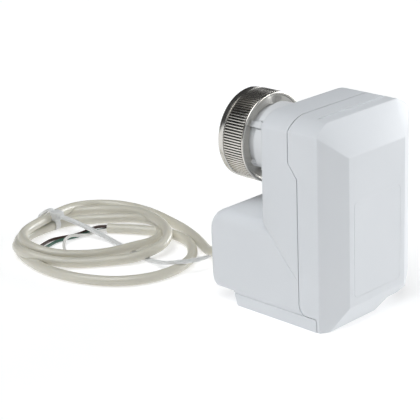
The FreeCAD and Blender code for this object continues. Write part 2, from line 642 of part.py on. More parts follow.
def gear_bridge(axes):
    """Front plate of the gearbox, with posts for the circuit board."""
    motor, lower, upper, output = axes
    body = new_body("gear_bridge")
    high = "bridge_y + bridge_thick"
    slab(body, "XZ_Plane", "bridge_y", high, [("-10", "13"), ("10", "13"), ("17", "18"), ("17", "42"), ("21.5", "47"),
                                              ("21.5", "57"), ("9", "67"), ("-9", "67"), ("-21.5", "57"),
                                              ("-21.5", "47"), ("-17", "42"), ("-17", "18")])
    disc(body, "XZ_Plane", "bridge_y - 1", high + " + 1", str(output[0]), str(output[1]), "4.5", cut=True)
    for x, z in (lower, upper):
        disc(body, "XZ_Plane", "bridge_y - 1", high + " + 1", str(x), str(z), "axle_radius", cut=True)
    for x, z in BRIDGE_POSTS + [STANDOFF]:
        disc(body, "XZ_Plane", "bridge_y - 1", high + " + 1", x, z, "1.3", cut=True)
    for x, z in BOARD_POSTS:
        disc(body, "XZ_Plane", "board_y + board_thick", "bridge_y + 0.2", x, z, "2.2")
        disc(body, "XZ_Plane", "board_y", "bridge_y + 1", x, z, "0.8", cut=True)


def motor_bracket(axes):
    motor, lower, upper, output = axes
    body = new_body("motor_bracket")
    high = "back_y - wall"
    low = "back_y - wall - bracket_thick"
    slab(body, "XZ_Plane", low, high, [("-22.5", "9"), ("12", "9"), ("22.5", "12"), ("22.5", "28"), ("16", "34"),
                                       ("-16", "34"), ("-22.5", "28")])
    disc(body, "XZ_Plane", low + " - 1", high + " + 1", "0", "motor_z", "3.2", cut=True)
    disc(body, "XZ_Plane", low + " - 1", high + " + 1", str(lower[0]), str(lower[1]), "axle_radius", cut=True)
    for x, z in BRACKET_POSTS:
        disc(body, "XZ_Plane", low + " - 1", high + " + 1", x, z, "1.3", cut=True)
    disc(body, "XZ_Plane", low + " - 1", high + " + 1", STANDOFF[0], STANDOFF[1], "1.0", cut=True)


def bridge_standoff():
    """Pillar between the motor bracket and the bridge, with a pin end in each."""
    low = "bridge_y + bridge_thick"
    body = new_body("bridge_standoff", along_y(STANDOFF[0], low, STANDOFF[1]))
    reach = "back_y - wall - bracket_thick - (%s)" % low
    turned(body, [("0", "-bridge_thick"), ("1.3", "-bridge_thick"), ("1.3", "0"), ("2.4", "0"), ("2.4", reach),
                  ("1.0", reach), ("1.0", reach + " + bracket_thick"), ("0", reach + " + bracket_thick")])


# ---- motor -------------------------------------------------------------------------

def motor_can():
    body = new_body("motor_can", along_y("0", "back_y - wall", "motor_z"))
    turned(body, [("1.05", "-1.1"), ("3.1", "-1.1"), ("3.1", "0"), ("motor_radius - 0.8", "0"),
                  ("motor_radius", "0.8"), ("motor_radius", "motor_length"), ("3", "motor_length"),
                  ("3", "motor_length - 1.5"), ("1.05", "motor_length - 1.5")])


def motor_end_cap():
    body = new_body("motor_end_cap", along_y("0", "back_y - wall + motor_length", "motor_z"))
    turned(body, [("1.05", "-1.5"), ("3", "-1.5"), ("3", "0"), ("motor_radius - 0.6", "0"),
                  ("motor_radius - 0.6", "1.2"), ("4", "1.2"), ("4", "2"), ("1.05", "2")])
    for side in ("", "-"):
        block(body, "XY_Plane", "0", "4.5", side + "6.2", side + "8.2", "-0.3", "0.3")


def motor_shaft():
    body = new_body("motor_shaft", along_y("0", "layer_c - 0.4", "motor_z"))
    turned(body, [("0", "0"), ("0.8", "0"), ("1", "0.2"), ("1", "back_y - wall + motor_length + 1 - layer_c + 0.4"),
                  ("0", "back_y - wall + motor_length + 1 - layer_c + 0.4")])


def motor_pinion(axis, turn):
    body = new_body("motor_pinion", along_y(str(axis[0]), "0", str(axis[1]), turn))
    gear_teeth(body, "teeth_pinion", "layer_c")
    disc(body, "XY_Plane", "layer_c + face_width", "layer_b + face_width", "0", "0", "2")
    disc(body, "XY_Plane", "layer_c - 1", "layer_a", "0", "0", "1", cut=True)


# ---- electronics -------------------------------------------------------------------

def circuit_board():
    body = new_body("circuit_board")
    block(body, "XZ_Plane", "board_y", "board_y + board_thick", "-board_half", "board_half",
          "board_bottom", "board_top")
    soften(body, "2", lambda e: runs_along(e, 1))
    for x, z in BOARD_POSTS:
        disc(body, "XZ_Plane", "board_y - 1", "board_y + board_thick + 1", x, z, "1.2", cut=True)


def control_chip():
    body = new_body("control_chip")
    block(body, "XZ_Plane", "board_y - 1.4", "board_y", "-5", "5", "32", "42")
    soften(body, "0.3", lambda e: all(near(v.Y, "board_y - 1.4") for v in e.Vertexes), chamfer=True)


def capacitor():
    body = new_body("capacitor", along_y("-12", "board_y - 7.5", "25"))
    turned(body, [("0", "0"), ("3.1", "0"), ("3.5", "0.4"), ("3.5", "5.8"), ("3.2", "6.2"), ("3.5", "6.6"),
                  ("3.5", "7.5"), ("0", "7.5")])


def cable_header():
    body = new_body("cable_header")
    block(body, "XZ_Plane", "board_y - 6", "board_y", "-5.5", "7", "16", "22.5")
    for n in range(3):
        block(body, "XZ_Plane", "board_y - 7", "board_y - 1.5", str(n * 3.8 - 4.3), str(n * 3.8 - 1.8),
              "17.2", "20.6", cut=True)


# ---- fasteners ---------------------------------------------------------------------

def screw_group(label, places, seat, head_radius, head_high, shank_radius, shank_length, facing):
    """Identical pan-head screws with cross recesses; facing is 1 when the heads look to +Y, else -1."""
    parts = []
    lay_down = Rotation(Vector(1, 0, 0), -90 * facing)
    recess_depth = 0.7
    for x, z in places:
        head = Part.makeCylinder(head_radius, head_high)
        head = head.makeFillet(head_radius * 0.25, [head.Edges[0]])
        shank = Part.makeCylinder(shank_radius, shank_length, Vector(0, 0, -shank_length))
        screw = head.fuse(shank)
        for wide, deep in ((2.4, 0.6), (0.6, 2.4)):
            corner = Vector(-wide / 2, -deep / 2, head_high - recess_depth)
            screw = screw.cut(Part.makeBox(wide, deep, recess_depth + 1, corner))
        screw.Placement = Placement(Vector(number(x), number(seat), number(z)), lay_down)
        parts.append(screw)
    return shape_part(label, Part.makeCompound(parts))


def shape_part(label, shape):
    """A part whose shape is made by Part's own functions."""
    feature = doc.addObject("Part::Feature", label)
    feature.Label = label
    feature.Shape = shape
    PARTS.append(feature)
    return feature


# ---- cable -------------------------------------------------------------------------

LEAD_ROUTE = [(-2.0, 41.0, 10.6), (-2.0, 46.2, 10.6), (-1.8, 52.2, 8.2), (0.6, 59.0, 4.9), (5.8, 65.6, 2.7),
              (10.3, 72.4, 2.1), (13.6, 79.4, 2.1), (16.0, 87.2, 2.1), (17.9, 95.6, 2.1)]
LOOP_ROUTE = [(-48.6, 115.0, 2.1), (-50.9, 106.8, 2.1), (-52.2, 98.0, 2.1), (-51.8, 87.6, 2.1), (-49.2, 76.6, 2.1),
              (-44.0, 66.8, 2.1), (-36.5, 59.8, 2.1), (-27.5, 56.0, 2.1), (-16.0, 55.8, 2.1), (-5.2, 60.2, 2.1),
              (1.4, 66.8, 2.1), (6.2, 73.8, 2.1), (8.0, 81.6, 2.1), (7.7, 89.2, 2.1), (4.6, 96.8, 2.1),
              (0.6, 104.5, 2.1), (-4.6, 112.2, 2.1)]
BROWN_ROUTE = [(-4.6, 112.2, 3.05), (-6.2, 116.0, 2.6), (-8.6, 118.8, 1.5), (-12.4, 119.4, 0.8), (-17.0, 120.2, 0.65),
               (-21.4, 122.2, 0.65), (-26.4, 123.8, 0.65), (-31.0, 122.8, 0.65), (-35.4, 121.2, 0.65)]
GREEN_ROUTE = [(-5.2, 111.9, 1.6), (-7.2, 114.4, 1.2), (-10.2, 115.6, 0.65), (-14.0, 115.3, 0.65),
               (-18.2, 115.9, 0.65), (-22.0, 118.6, 0.65), (-26.4, 119.7, 0.65), (-30.6, 118.6, 0.65),
               (-34.6, 117.4, 0.65)]
WHITE_ROUTE = [(-4.0, 112.5, 1.6), (-6.0, 115.9, 1.2), (-9.2, 117.5, 0.65), (-13.2, 117.4, 0.65),
               (-17.2, 117.0, 1.7), (-21.0, 117.8, 2.4), (-24.6, 117.2, 1.7), (-27.6, 114.6, 0.8),
               (-30.0, 111.4, 0.65), (-31.2, 109.4, 0.65)]
TIE_TAIL = [(-16.0, 130.5, 6.9), (-15.2, 125.0, 6.3), (-13.8, 118.8, 4.9), (-12.5, 111.6, 3.3), (-11.9, 104.2, 1.7),
            (-12.4, 96.4, 0.7), (-13.8, 88.2, 0.5), (-15.4, 79.8, 0.5), (-17.0, 71.6, 1.0), (-18.3, 64.0, 2.6),
            (-18.4, 57.2, 4.7), (-15.2, 52.6, 5.2), (-10.2, 51.0, 5.0), (-4.6, 50.8, 4.6)]


def smooth_path(label, route):
    """Straight runs joined by tangent arcs, each as large as its two runs allow."""
    points = [Vector(*p) for p in route]
    edges = []
    start = points[0]
    smallest = math.inf
    for before, corner, after in zip(points, points[1:], points[2:]):
        back = (before - corner).normalize()
        on = (after - corner).normalize()
        reach = 0.45 * min((before - corner).Length, (after - corner).Length)
        half_turn = (math.pi - back.getAngle(on)) / 2
        radius = reach / math.tan(half_turn)
        smallest = min(smallest, radius)
        middle_way = (back + on).normalize()
        middle = corner + middle_way * (radius / math.cos(half_turn) - radius)
        first, last = corner + back * reach, corner + on * reach
        edges.append(Part.LineSegment(start, first).toShape())
        edges.append(Part.Arc(first, middle, last).toShape())
        start = last
    edges.append(Part.LineSegment(start, points[-1]).toShape())
    wire = Part.Wire(edges)
    print("%s: %.1f mm long, smallest radius %.1f mm" % (label, wire.Length, smallest))
    return wire


def tube(label, route, radius):
    """A round cord along a route."""
    path = smooth_path(label, route)
    start = Vector(*route[0])
    heading = Vector(*route[1]) - start
    ring = Part.Wire(Part.makeCircle(radius, start, heading))
    solid = path.makePipeShell([ring], True, False)
    wanted = math.pi * radius ** 2 * path.Length
    if abs(solid.Volume - wanted) > 0.01 * wanted:
        raise RuntimeError("%s: volume %.1f instead of %.1f" % (label, solid.Volume, wanted))
    return shape_part(label, solid)


def cable_coil():
    """The outer shape of the cable's loose turns: a flat oval ring, two strands high."""
    body = new_body("cable_coil")
    high = "4 * cable_radius"

    def oval(across, up, wide, deep):
        def draw(sketch):
            centre = Vector(across, up, 0)
            sketch.addGeometry(Part.Ellipse(centre + Vector(wide, 0, 0), centre + Vector(0, deep, 0), centre))
        return draw
    sweep(body, "XY_Plane", "0", high, oval(-15.0, 110.5, 38.0, 37.0))
    sweep(body, "XY_Plane", "0", high, oval(-15.5, 109.0, 18.5, 17.5), cut=True)
    soften(body, "1.5", lambda e: e.BoundBox.ZLength < 0.01)


def cable_gland():
    """Tapered bush that holds the cable in the rear wall."""
    body = new_body("cable_gland", along_y("cable_x", "0", "cable_z"))
    turned(body, [("cable_radius", "box_back_y - wall - 1.5"), ("4.2", "box_back_y - wall - 1.5"),
                  ("4.2", "box_back_y - wall"), ("cable_radius + 1.2", "box_back_y - wall"),
                  ("cable_radius + 1.2", "box_back_y"), ("4.0", "box_back_y"), ("4.0", "box_back_y + 1.2"),
                  ("3.3", "box_back_y + 1.6"), ("2.9", "41"), ("cable_radius", "41")])


def cable_stub():
    """The cable's end inside the gland and the box."""
    body = new_body("cable_inner_end", along_y("cable_x", "0", "cable_z"))
    disc(body, "XY_Plane", "box_back_y - wall - 4", "41", "0", "0", "cable_radius")


def cable_tie():
    """Band round the bundle, its lock and the long free tail, moulded in one piece."""
    tail = smooth_path("cable_tie tail", TIE_TAIL)
    start = Vector(*TIE_TAIL[0])
    heading = (Vector(*TIE_TAIL[1]) - start).normalize()
    side = heading.cross(Vector(0, 0, 1)).normalize()
    rise = side.cross(heading)
    half_wide, half_thick = 1.25, 0.45
    corners = [start + side * a * half_wide + rise * b * half_thick for a, b in ((-1, -1), (1, -1), (1, 1), (-1, 1))]
    section = Part.makePolygon(corners + corners[:1])
    sweep_tool = Part.BRepOffsetAPI.MakePipeShell(tail)
    sweep_tool.setBiNormalMode(Vector(0, 0, 1))
    sweep_tool.add(section)
    sweep_tool.build()
    sweep_tool.makeSolid()
    strap = sweep_tool.shape()
    band = Part.makeBox(3.0, 15.4, 8.6, Vector(-1.5, -7.7, -0.6))
    band = band.cut(Part.makeBox(4.0, 13.6, 7.0, Vector(-2, -6.8, 0.2)))
    band = band.makeFillet(1.2, [e for e in band.Edges if runs_along(e, 0) and e.BoundBox.YLength < 0.01])
    lock = Part.makeBox(4.6, 5.0, 4.4, Vector(-2.3, -8.4, 4.2))
    lock = lock.makeFillet(0.6, lock.Edges)
    ring = band.fuse(lock)
    ring.Placement = Placement(Vector(-15.2, 137.2, 0.6), Rotation(Vector(0, 0, 1), 10))
    return shape_part("cable_tie", ring.fuse(strap).removeSplitter())


def build():
    axes = gear_axes()
    motor, lower, upper, output = axes
    upper_turn = meshing_turn(output, 0, "teeth_output", upper, "teeth_pinion")
    lower_turn = meshing_turn(upper, upper_turn, "teeth_upper_wheel", lower, "teeth_pinion")
    motor_turn = meshing_turn(lower, lower_turn, "teeth_lower_wheel", motor, "teeth_pinion")
    print("gear axes", [tuple(round(v, 3) for v in axis) for axis in axes])
    rear_housing()
    front_cover()
    label_panel()
    valve_neck()
    coupling_nut()
    nut_retaining_ring()
    push_pin()
    thrust_washer()
    output_gear(output)
    output_bush(output)
    bridge_back = "bridge_y + bridge_thick"
    idler_gear("upper_idler_gear", upper, upper_turn, "teeth_upper_wheel", "layer_b", "layer_a",
               bridge_back + " + 0.1", "back_y - wall - 0.1")
    idler_gear("lower_idler_gear", lower, lower_turn, "teeth_lower_wheel", "layer_c", "layer_b",
               bridge_back + " + 0.1", "back_y - wall - bracket_thick - 0.1")
    axle("upper_axle", upper, "bridge_y", "back_y - wall + 1.4")
    axle("lower_axle", lower, "bridge_y", "back_y - wall")
    gear_bridge(axes)
    motor_bracket(axes)
    bridge_standoff()
    motor_can()
    motor_end_cap()
    motor_shaft()
    motor_pinion(motor, motor_turn)
    circuit_board()
    control_chip()
    capacitor()
    cable_header()
    screw_group("cover_screws", COVER_SCREWS, "back_y - 1.8", 2.6, 1.6, 1.3, 9.0, 1)
    screw_group("bridge_screws", BRIDGE_POSTS, "bridge_y", 2.2, 1.3, 0.8, 7.0, -1)
    screw_group("bracket_screws", BRACKET_POSTS, "back_y - wall - bracket_thick", 1.9, 0.5, 0.8, 7.0, -1)
    screw_group("board_screws", BOARD_POSTS, "board_y", 1.9, 1.1, 0.8, 4.4, -1)
    cable_gland()
    cable_stub()
    tube("cable_lead", LEAD_ROUTE, number("cable_radius"))
    cable_coil()
    tube("cable_loop", LOOP_ROUTE, number("cable_radius"))
    for label, route in (("wire_brown", BROWN_ROUTE), ("wire_green", GREEN_ROUTE), ("wire_white", WHITE_ROUTE)):
        tube(label, route, number("wire_radius"))
    cable_tie()


def check_and_write():
    """Stop on any failed object or bad shape, then write every part."""
    doc.recompute()
    failed = [item.Label for item in doc.Objects if "Invalid" in item.State or "Error" in item.State]
    if failed:
        raise RuntimeError("failed objects: %s" % failed)
    for part in PARTS:
        if part.Shape.isNull() or not part.Shape.isValid() or not part.Shape.Solids:
            raise RuntimeError("bad shape: %s" % part.Label)
    os.makedirs("parts", exist_ok=True)
    for part in PARTS:
        part.Shape.exportStep("parts/%s.step" % part.Label)
        print("%-20s %d solid(s), %9.1f mm3" % (part.Label, len(part.Shape.Solids), part.Shape.Volume))


build()
check_and_write()
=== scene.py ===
"""Looks of the motorised actuator head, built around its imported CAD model."""

import json
import math

import bmesh
import bpy
from mathutils import Matrix, Vector


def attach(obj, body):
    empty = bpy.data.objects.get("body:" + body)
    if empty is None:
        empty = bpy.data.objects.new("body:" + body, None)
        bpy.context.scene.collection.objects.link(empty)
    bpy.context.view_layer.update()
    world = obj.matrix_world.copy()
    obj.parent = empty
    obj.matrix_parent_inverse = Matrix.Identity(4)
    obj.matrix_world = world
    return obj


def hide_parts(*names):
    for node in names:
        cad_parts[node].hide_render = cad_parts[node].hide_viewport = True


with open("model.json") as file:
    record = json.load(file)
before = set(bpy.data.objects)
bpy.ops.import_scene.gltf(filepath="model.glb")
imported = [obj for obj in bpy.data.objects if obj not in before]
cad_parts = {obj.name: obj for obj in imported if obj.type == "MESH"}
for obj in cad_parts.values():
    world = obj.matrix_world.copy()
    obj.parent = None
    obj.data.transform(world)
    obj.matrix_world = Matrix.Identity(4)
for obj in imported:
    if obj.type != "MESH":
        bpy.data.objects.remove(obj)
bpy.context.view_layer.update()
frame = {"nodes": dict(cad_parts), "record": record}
MM = 0.001                 # metres
SCENE = bpy.context.scene


# ---- camera ------------------------------------------------------------------------

CAMERA_PLACE = (-412.8, -359.35, 233.6)    # millimetres
CAMERA_TURN = (44.94, 19.88, -2.22)        # yaw, pitch down and roll, degrees
SENSOR, LENS = 36, 132.6


def make_camera():
    """A long lens at the front left, a little above the top of the casing."""
    yaw, pitch, roll = (math.radians(angle) for angle in CAMERA_TURN)
    level = math.cos(pitch)
    forward = Vector((math.sin(yaw) * level, math.cos(yaw) * level, -math.sin(pitch)))
    right = Vector((math.cos(yaw), -math.sin(yaw), 0))
    up = right.cross(forward)
    across = right * math.cos(roll) + up * math.sin(roll)
    above = up * math.cos(roll) - right * math.sin(roll)
    data = bpy.data.cameras.new("camera")
    data.sensor_width = SENSOR
    data.lens = LENS
    data.clip_start = 0.01
    camera = bpy.data.objects.new("camera", data)
    SCENE.collection.objects.link(camera)
    axes = Matrix((across, above, -forward)).transposed().to_4x4()
    camera.matrix_world = Matrix.Translation(Vector(CAMERA_PLACE) * MM) @ axes
    SCENE.camera = camera


# ---- nut sizes in millimetres, for its mesh and the painted shade in its grooves ---

AXIS_Z = 59.8              # height of the nut's axis
NUT_RADIUS = 17.5
GROOVE = 0.7               # depth of the knurl
KNURL = (19.5, 28.4)       # where the ribs start and end along the axis


# ---- mesh helpers ------------------------------------------------------------------

BLOCK_REACH = 160.0        # half size of the block that planes cut down to a solid
CUT_MARGIN = 1e-4          # a vertex this close to a plane counts as on it
FLAT_ANGLE = 0.005         # faces that differ by less, in radians, become one
WIDE = 60                  # tools that cut right across the casing reach this far each way


def link(name, mesh):
    piece = bpy.data.objects.new(name, mesh)
    SCENE.collection.objects.link(piece)
    return piece


def finish_piece(piece, material, body, replaced, angle=32):
    """Smooth shading with crisp edges above an angle, a material, and what the frame needs."""
    piece.data.materials.clear()
    piece.data.materials.append(material)
    if piece.type == "MESH":
        piece.data.shade_smooth()
        piece.data.set_sharp_from_angle(angle=math.radians(angle))
    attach(piece, body)
    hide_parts(*replaced)


def cut_by_planes(planes):
    """The convex solid inside planes, each a point and an outward normal, in millimetres."""
    solid = bmesh.new()
    bmesh.ops.create_cube(solid, size=2 * BLOCK_REACH)
    for point, normal in planes:
        parts = solid.verts[:] + solid.edges[:] + solid.faces[:]
        done = bmesh.ops.bisect_plane(solid, geom=parts, dist=CUT_MARGIN, clear_outer=True,
                                      plane_co=Vector(point), plane_no=Vector(normal).normalized())
        rim = [item for item in done["geom_cut"] if isinstance(item, bmesh.types.BMEdge)]
        if rim:
            bmesh.ops.contextual_create(solid, geom=rim)
    bmesh.ops.dissolve_limit(solid, angle_limit=FLAT_ANGLE, verts=solid.verts, edges=solid.edges)
    bmesh.ops.recalc_face_normals(solid, faces=solid.faces)
    return solid


def inset_planes(planes, depth):
    """The same planes moved inwards."""
    return [(Vector(point) - Vector(normal).normalized() * depth, normal)
            for point, normal in planes]


def round_edges(solid, radius, chosen, segments=5):
    """Round the edges that a test picks."""
    edges = [edge for edge in solid.edges if edge.is_manifold and chosen(edge)]
    bmesh.ops.bevel(solid, geom=edges, offset=radius, offset_type="OFFSET", segments=segments,
                    profile=0.5, affect="EDGES", clamp_overlap=True)


def skin(solid, rings, closed=False):
    """Faces between neighbouring rings of vertices, with a cap at each end unless it closes."""
    following = rings[1:] + rings[:1] if closed else rings[1:]
    for here, there in zip(rings, following):
        for n in range(len(here)):
            m = (n + 1) % len(here)
            solid.faces.new((here[n], here[m], there[m], there[n]))
    if not closed:
        solid.faces.new(rings[0][::-1])
        solid.faces.new(rings[-1])
    bmesh.ops.recalc_face_normals(solid, faces=solid.faces)


def to_piece(name, solid, scale=MM):
    """A mesh object from a bmesh, which is used up."""
    bmesh.ops.scale(solid, vec=(scale, scale, scale), verts=solid.verts)
    mesh = bpy.data.meshes.new(name)
    solid.to_mesh(mesh)
    solid.free()
    return link(name, mesh)


def apply_modifiers(piece):
    graph = bpy.context.evaluated_depsgraph_get()
    graph.update()
    mesh = bpy.data.meshes.new_from_object(piece.evaluated_get(graph))
    piece.modifiers.clear()
    piece.data = mesh


def combine(piece, tool, operation):
    """Boolean of two closed pieces; the tool is used up."""
    step = piece.modifiers.new("combine", "BOOLEAN")
    step.operation = operation
    step.solver = "EXACT"
    step.object = tool
    apply_modifiers(piece)
    bpy.data.objects.remove(tool)
    return piece


def prism(name, axis, outline, low, high):
    """A prism along an axis, 0 for X or 1 for Y, from an outline in the other two axes."""
    solid = bmesh.new()
    rings = []
    for level in (low, high):
        ring = []
        for first, second in outline:
            place = [first, second]
            place.insert(axis, level)
            ring.append(solid.verts.new(place))
        rings.append(ring)
    skin(solid, rings)
    return to_piece(name, solid)


def groove_tool(start, end, out, spread):
    """A V whose bottom is a line, open towards out; spread is its half width over its depth."""
    start, end, out = Vector(start), Vector(end), Vector(out)
    along = (end - start).normalized()
    across = along.cross(out)
    return to_piece("groove", cut_by_planes([
        (start, across - out * spread), (start, -across - out * spread), (start + out, out),
        (start, -along), (end, along)]))


def arc(centre, radius, start, end, steps):
    """Points along an arc, angles in degrees."""
    angles = [math.radians(start + (end - start) * n / steps) for n in range(steps + 1)]
    return [(centre[0] + radius * math.cos(a), centre[1] + radius * math.sin(a)) for a in angles]


# ---- materials ---------------------------------------------------------------------

BUMP_DEPTH = 0.00001       # metres
# painted shade: a dark colour laid into the bottoms of the knurl's grooves, where shade falls
GROOVE_SHADE = (0.15, 0.145, 0.13, 1)
GROOVE_SHADE_REACH = (0.05, 0.45)     # painted shade fades out between these heights over the grooves, millimetres
GROOVE_SHADE_PAST = (0.4, 0.5)        # and between these distances past the ends of the ribs


def new_material(name, base, roughness, **sockets):
    """A material whose shader has its constant values set on its own sockets."""
    material = bpy.data.materials.new(name)
    material.use_nodes = True
    shader = material.node_tree.nodes["Principled BSDF"]
    shader.inputs["Base Color"].default_value = (*base, 1)
    shader.inputs["Roughness"].default_value = roughness
    for socket, value in sockets.items():
        shader.inputs[socket.replace("_", " ")].default_value = value
    return material


def object_noise(material, scale, detail, stretch=(1, 1, 1)):
    """Noise in the object's own coordinates; scale is in cycles per metre."""
    nodes, links = material.node_tree.nodes, material.node_tree.links
    place = nodes.new("ShaderNodeTexCoord")
    mapping = nodes.new("ShaderNodeMapping")
    mapping.inputs["Scale"].default_value = stretch
    noise = nodes.new("ShaderNodeTexNoise")
    noise.inputs["Scale"].default_value = scale
    noise.inputs["Detail"].default_value = detail
    links.new(place.outputs["Object"], mapping.inputs["Vector"])
    links.new(mapping.outputs["Vector"], noise.inputs["Vector"])
    return noise.outputs["Fac"]


def map_range(material, value, low, high, start, end):
    """A value between low and high as the input goes from start to end."""
    nodes, links = material.node_tree.nodes, material.node_tree.links
    step = nodes.new("ShaderNodeMapRange")
    step.inputs["From Min"].default_value = start
    step.inputs["From Max"].default_value = end
    step.inputs["To Min"].default_value = low
    step.inputs["To Max"].default_value = high
    links.new(value, step.inputs["Value"])
    return step.outputs["Result"]


def tint(material, value, dark, light):
    """Base colour that wanders between two colours."""
    nodes, links = material.node_tree.nodes, material.node_tree.links
    mix = nodes.new("ShaderNodeMix")
    mix.data_type = "RGBA"
    mix.inputs["A"].default_value = (*dark, 1)
    mix.inputs["B"].default_value = (*light, 1)
    links.new(value, mix.inputs["Factor"])
    links.new(mix.outputs["Result"], nodes["Principled BSDF"].inputs["Base Color"])


def vary_roughness(material, value, low, high):
    """Roughness between two values over the middle of a noise's range."""
    nodes, links = material.node_tree.nodes, material.node_tree.links
    result = map_range(material, value, low, high, 0.3, 0.7)
    links.new(result, nodes["Principled BSDF"].inputs["Roughness"])


def add_bump(material, value, strength):
    """Fine bump of a height field."""
    nodes, links = material.node_tree.nodes, material.node_tree.links
    bump = nodes.new("ShaderNodeBump")
    bump.inputs["Distance"].default_value = BUMP_DEPTH
    bump.inputs["Strength"].default_value = strength
    links.new(value, bump.inputs["Height"])
    links.new(bump.outputs["Normal"], nodes["Principled BSDF"].inputs["Normal"])


def moulded(name, dark, light, roughness, **sockets):
    """Moulded plastic with faint flow shading and a slightly uneven gloss."""
    material = new_material(name, light, roughness, **sockets)
    tint(material, object_noise(material, 45, 1), dark, light)
    vary_roughness(material, object_noise(material, 80, 1), roughness - 0.03, roughness + 0.03)
    return material


def metal(name, dark, light, roughness, stretch=(1, 1, 1)):
    """Plated or machined metal with fine marks, which stretch draws out along one axis."""
    material = new_material(name, light, roughness, Metallic=1.0)
    tint(material, object_noise(material, 90, 3), dark, light)
    marks = object_noise(material, 700, 5, stretch)
    vary_roughness(material, marks, roughness - 0.04, roughness + 0.05)
    add_bump(material, marks, 0.6)
    return material


def distance_from(material, value, middle):
    """How far a value is from a fixed one, either way."""
    nodes, links = material.node_tree.nodes, material.node_tree.links
    step = nodes.new("ShaderNodeMath")
    step.operation = "SUBTRACT"
    step.inputs[1].default_value = middle
    size = nodes.new("ShaderNodeMath")
    size.operation = "ABSOLUTE"
    links.new(value, step.inputs[0])
    links.new(step.outputs["Value"], size.inputs[0])
    return size.outputs["Value"]


def nickel():
    """Bright nickel plate, with painted shade that darkens the grooves of the knurl."""
    material = metal("plated_nut", (0.64, 0.62, 0.58), (0.74, 0.72, 0.68), 0.2)
    nodes, links = material.node_tree.nodes, material.node_tree.links
    shader = nodes["Principled BSDF"]
    place = nodes.new("ShaderNodeTexCoord")
    off_axis = nodes.new("ShaderNodeVectorMath")
    off_axis.operation = "MULTIPLY_ADD"
    off_axis.inputs[1].default_value = (1, 0, 1)
    off_axis.inputs[2].default_value = (0, 0, -AXIS_Z * MM)
    length = nodes.new("ShaderNodeVectorMath")
    length.operation = "LENGTH"
    links.new(place.outputs["Object"], off_axis.inputs[0])
    links.new(off_axis.outputs["Vector"], length.inputs[0])
    split = nodes.new("ShaderNodeSeparateXYZ")
    links.new(place.outputs["Object"], split.inputs["Vector"])
    across = distance_from(material, length.outputs["Value"], (NUT_RADIUS - GROOVE) * MM)
    along = distance_from(material, split.outputs["Y"], sum(KNURL) / 2 * MM)
    half = (KNURL[1] - KNURL[0]) / 2
    start, end = (reach * MM for reach in GROOVE_SHADE_REACH)
    off_floor = map_range(material, across, 0.0, 1.0, start, end)
    start, end = ((half + reach) * MM for reach in GROOVE_SHADE_PAST)
    off_ribs = map_range(material, along, 0.0, 1.0, start, end)
    # painted shade: the dark groove colour is mixed in near the groove bottoms, along the ribbed
    # length
    unshaded = nodes.new("ShaderNodeMath")
    unshaded.operation = "MAXIMUM"
    links.new(off_floor, unshaded.inputs[0])
    links.new(off_ribs, unshaded.inputs[1])
    mix = nodes.new("ShaderNodeMix")
    mix.data_type = "RGBA"
    mix.inputs["A"].default_value = GROOVE_SHADE
    links.new(shader.inputs["Base Color"].links[0].from_socket, mix.inputs["B"])
    links.new(unshaded.outputs["Value"], mix.inputs["Factor"])
    links.new(mix.outputs["Result"], shader.inputs["Base Color"])
    return material


def laminate():
    """Green solder resist over a glass weave, with faint copper tracks."""
    material = new_material("board_laminate", (0.02, 0.13, 0.06), 0.3, Coat_Weight=0.3)
    nodes, links = material.node_tree.nodes, material.node_tree.links
    weave = nodes.new("ShaderNodeTexChecker")
    weave.inputs["Scale"].default_value = 700
    place = nodes.new("ShaderNodeTexCoord")
    links.new(place.outputs["Object"], weave.inputs["Vector"])
    tracks = object_noise(material, 400, 1, (1, 1, 0.1))
    tint(material, tracks, (0.012, 0.09, 0.04), (0.03, 0.17, 0.08))
    add_bump(material, weave.outputs["Fac"], 0.4)
    return material


def sheath():
    """Soft cable sheath: ivory, a little translucent, faintly uneven in colour and gloss."""
    material = new_material("cable_sheath", (0.60, 0.575, 0.49), 0.36,
                            Coat_Weight=0.4, Coat_Roughness=0.3,
                            Subsurface_Weight=0.2, Subsurface_Radius=(0.0016, 0.0014, 0.001))
    tint(material, object_noise(material, 50, 1), (0.58, 0.555, 0.47), (0.66, 0.64, 0.56))
    vary_roughness(material, object_noise(material, 90, 2), 0.29, 0.36)
    return material


def insulation(name, dark, light):
    """Thin coloured insulation of one conductor."""
    material = new_material(name, light, 0.3, Coat_Weight=0.15)
    tint(material, object_noise(material, 320, 3), dark, light)
    vary_roughness(material, object_noise(material, 600, 3), 0.3, 0.4)
    add_bump(material, object_noise(material, 1500, 2), 0.3)
    return material


def nylon():
    """Natural nylon: translucent, waxy and slightly cloudy."""
    material = new_material("tie_nylon", (0.80, 0.82, 0.82), 0.34,
                            Transmission_Weight=0.3, IOR=1.5,
                            Subsurface_Weight=0.25, Subsurface_Radius=(0.0015, 0.0015, 0.0015))
    tint(material, object_noise(material, 150, 3), (0.86, 0.87, 0.86), (0.92, 0.925, 0.915))
    vary_roughness(material, object_noise(material, 500, 3), 0.3, 0.42)
    add_bump(material, object_noise(material, 1800, 2), 0.3)
    return material


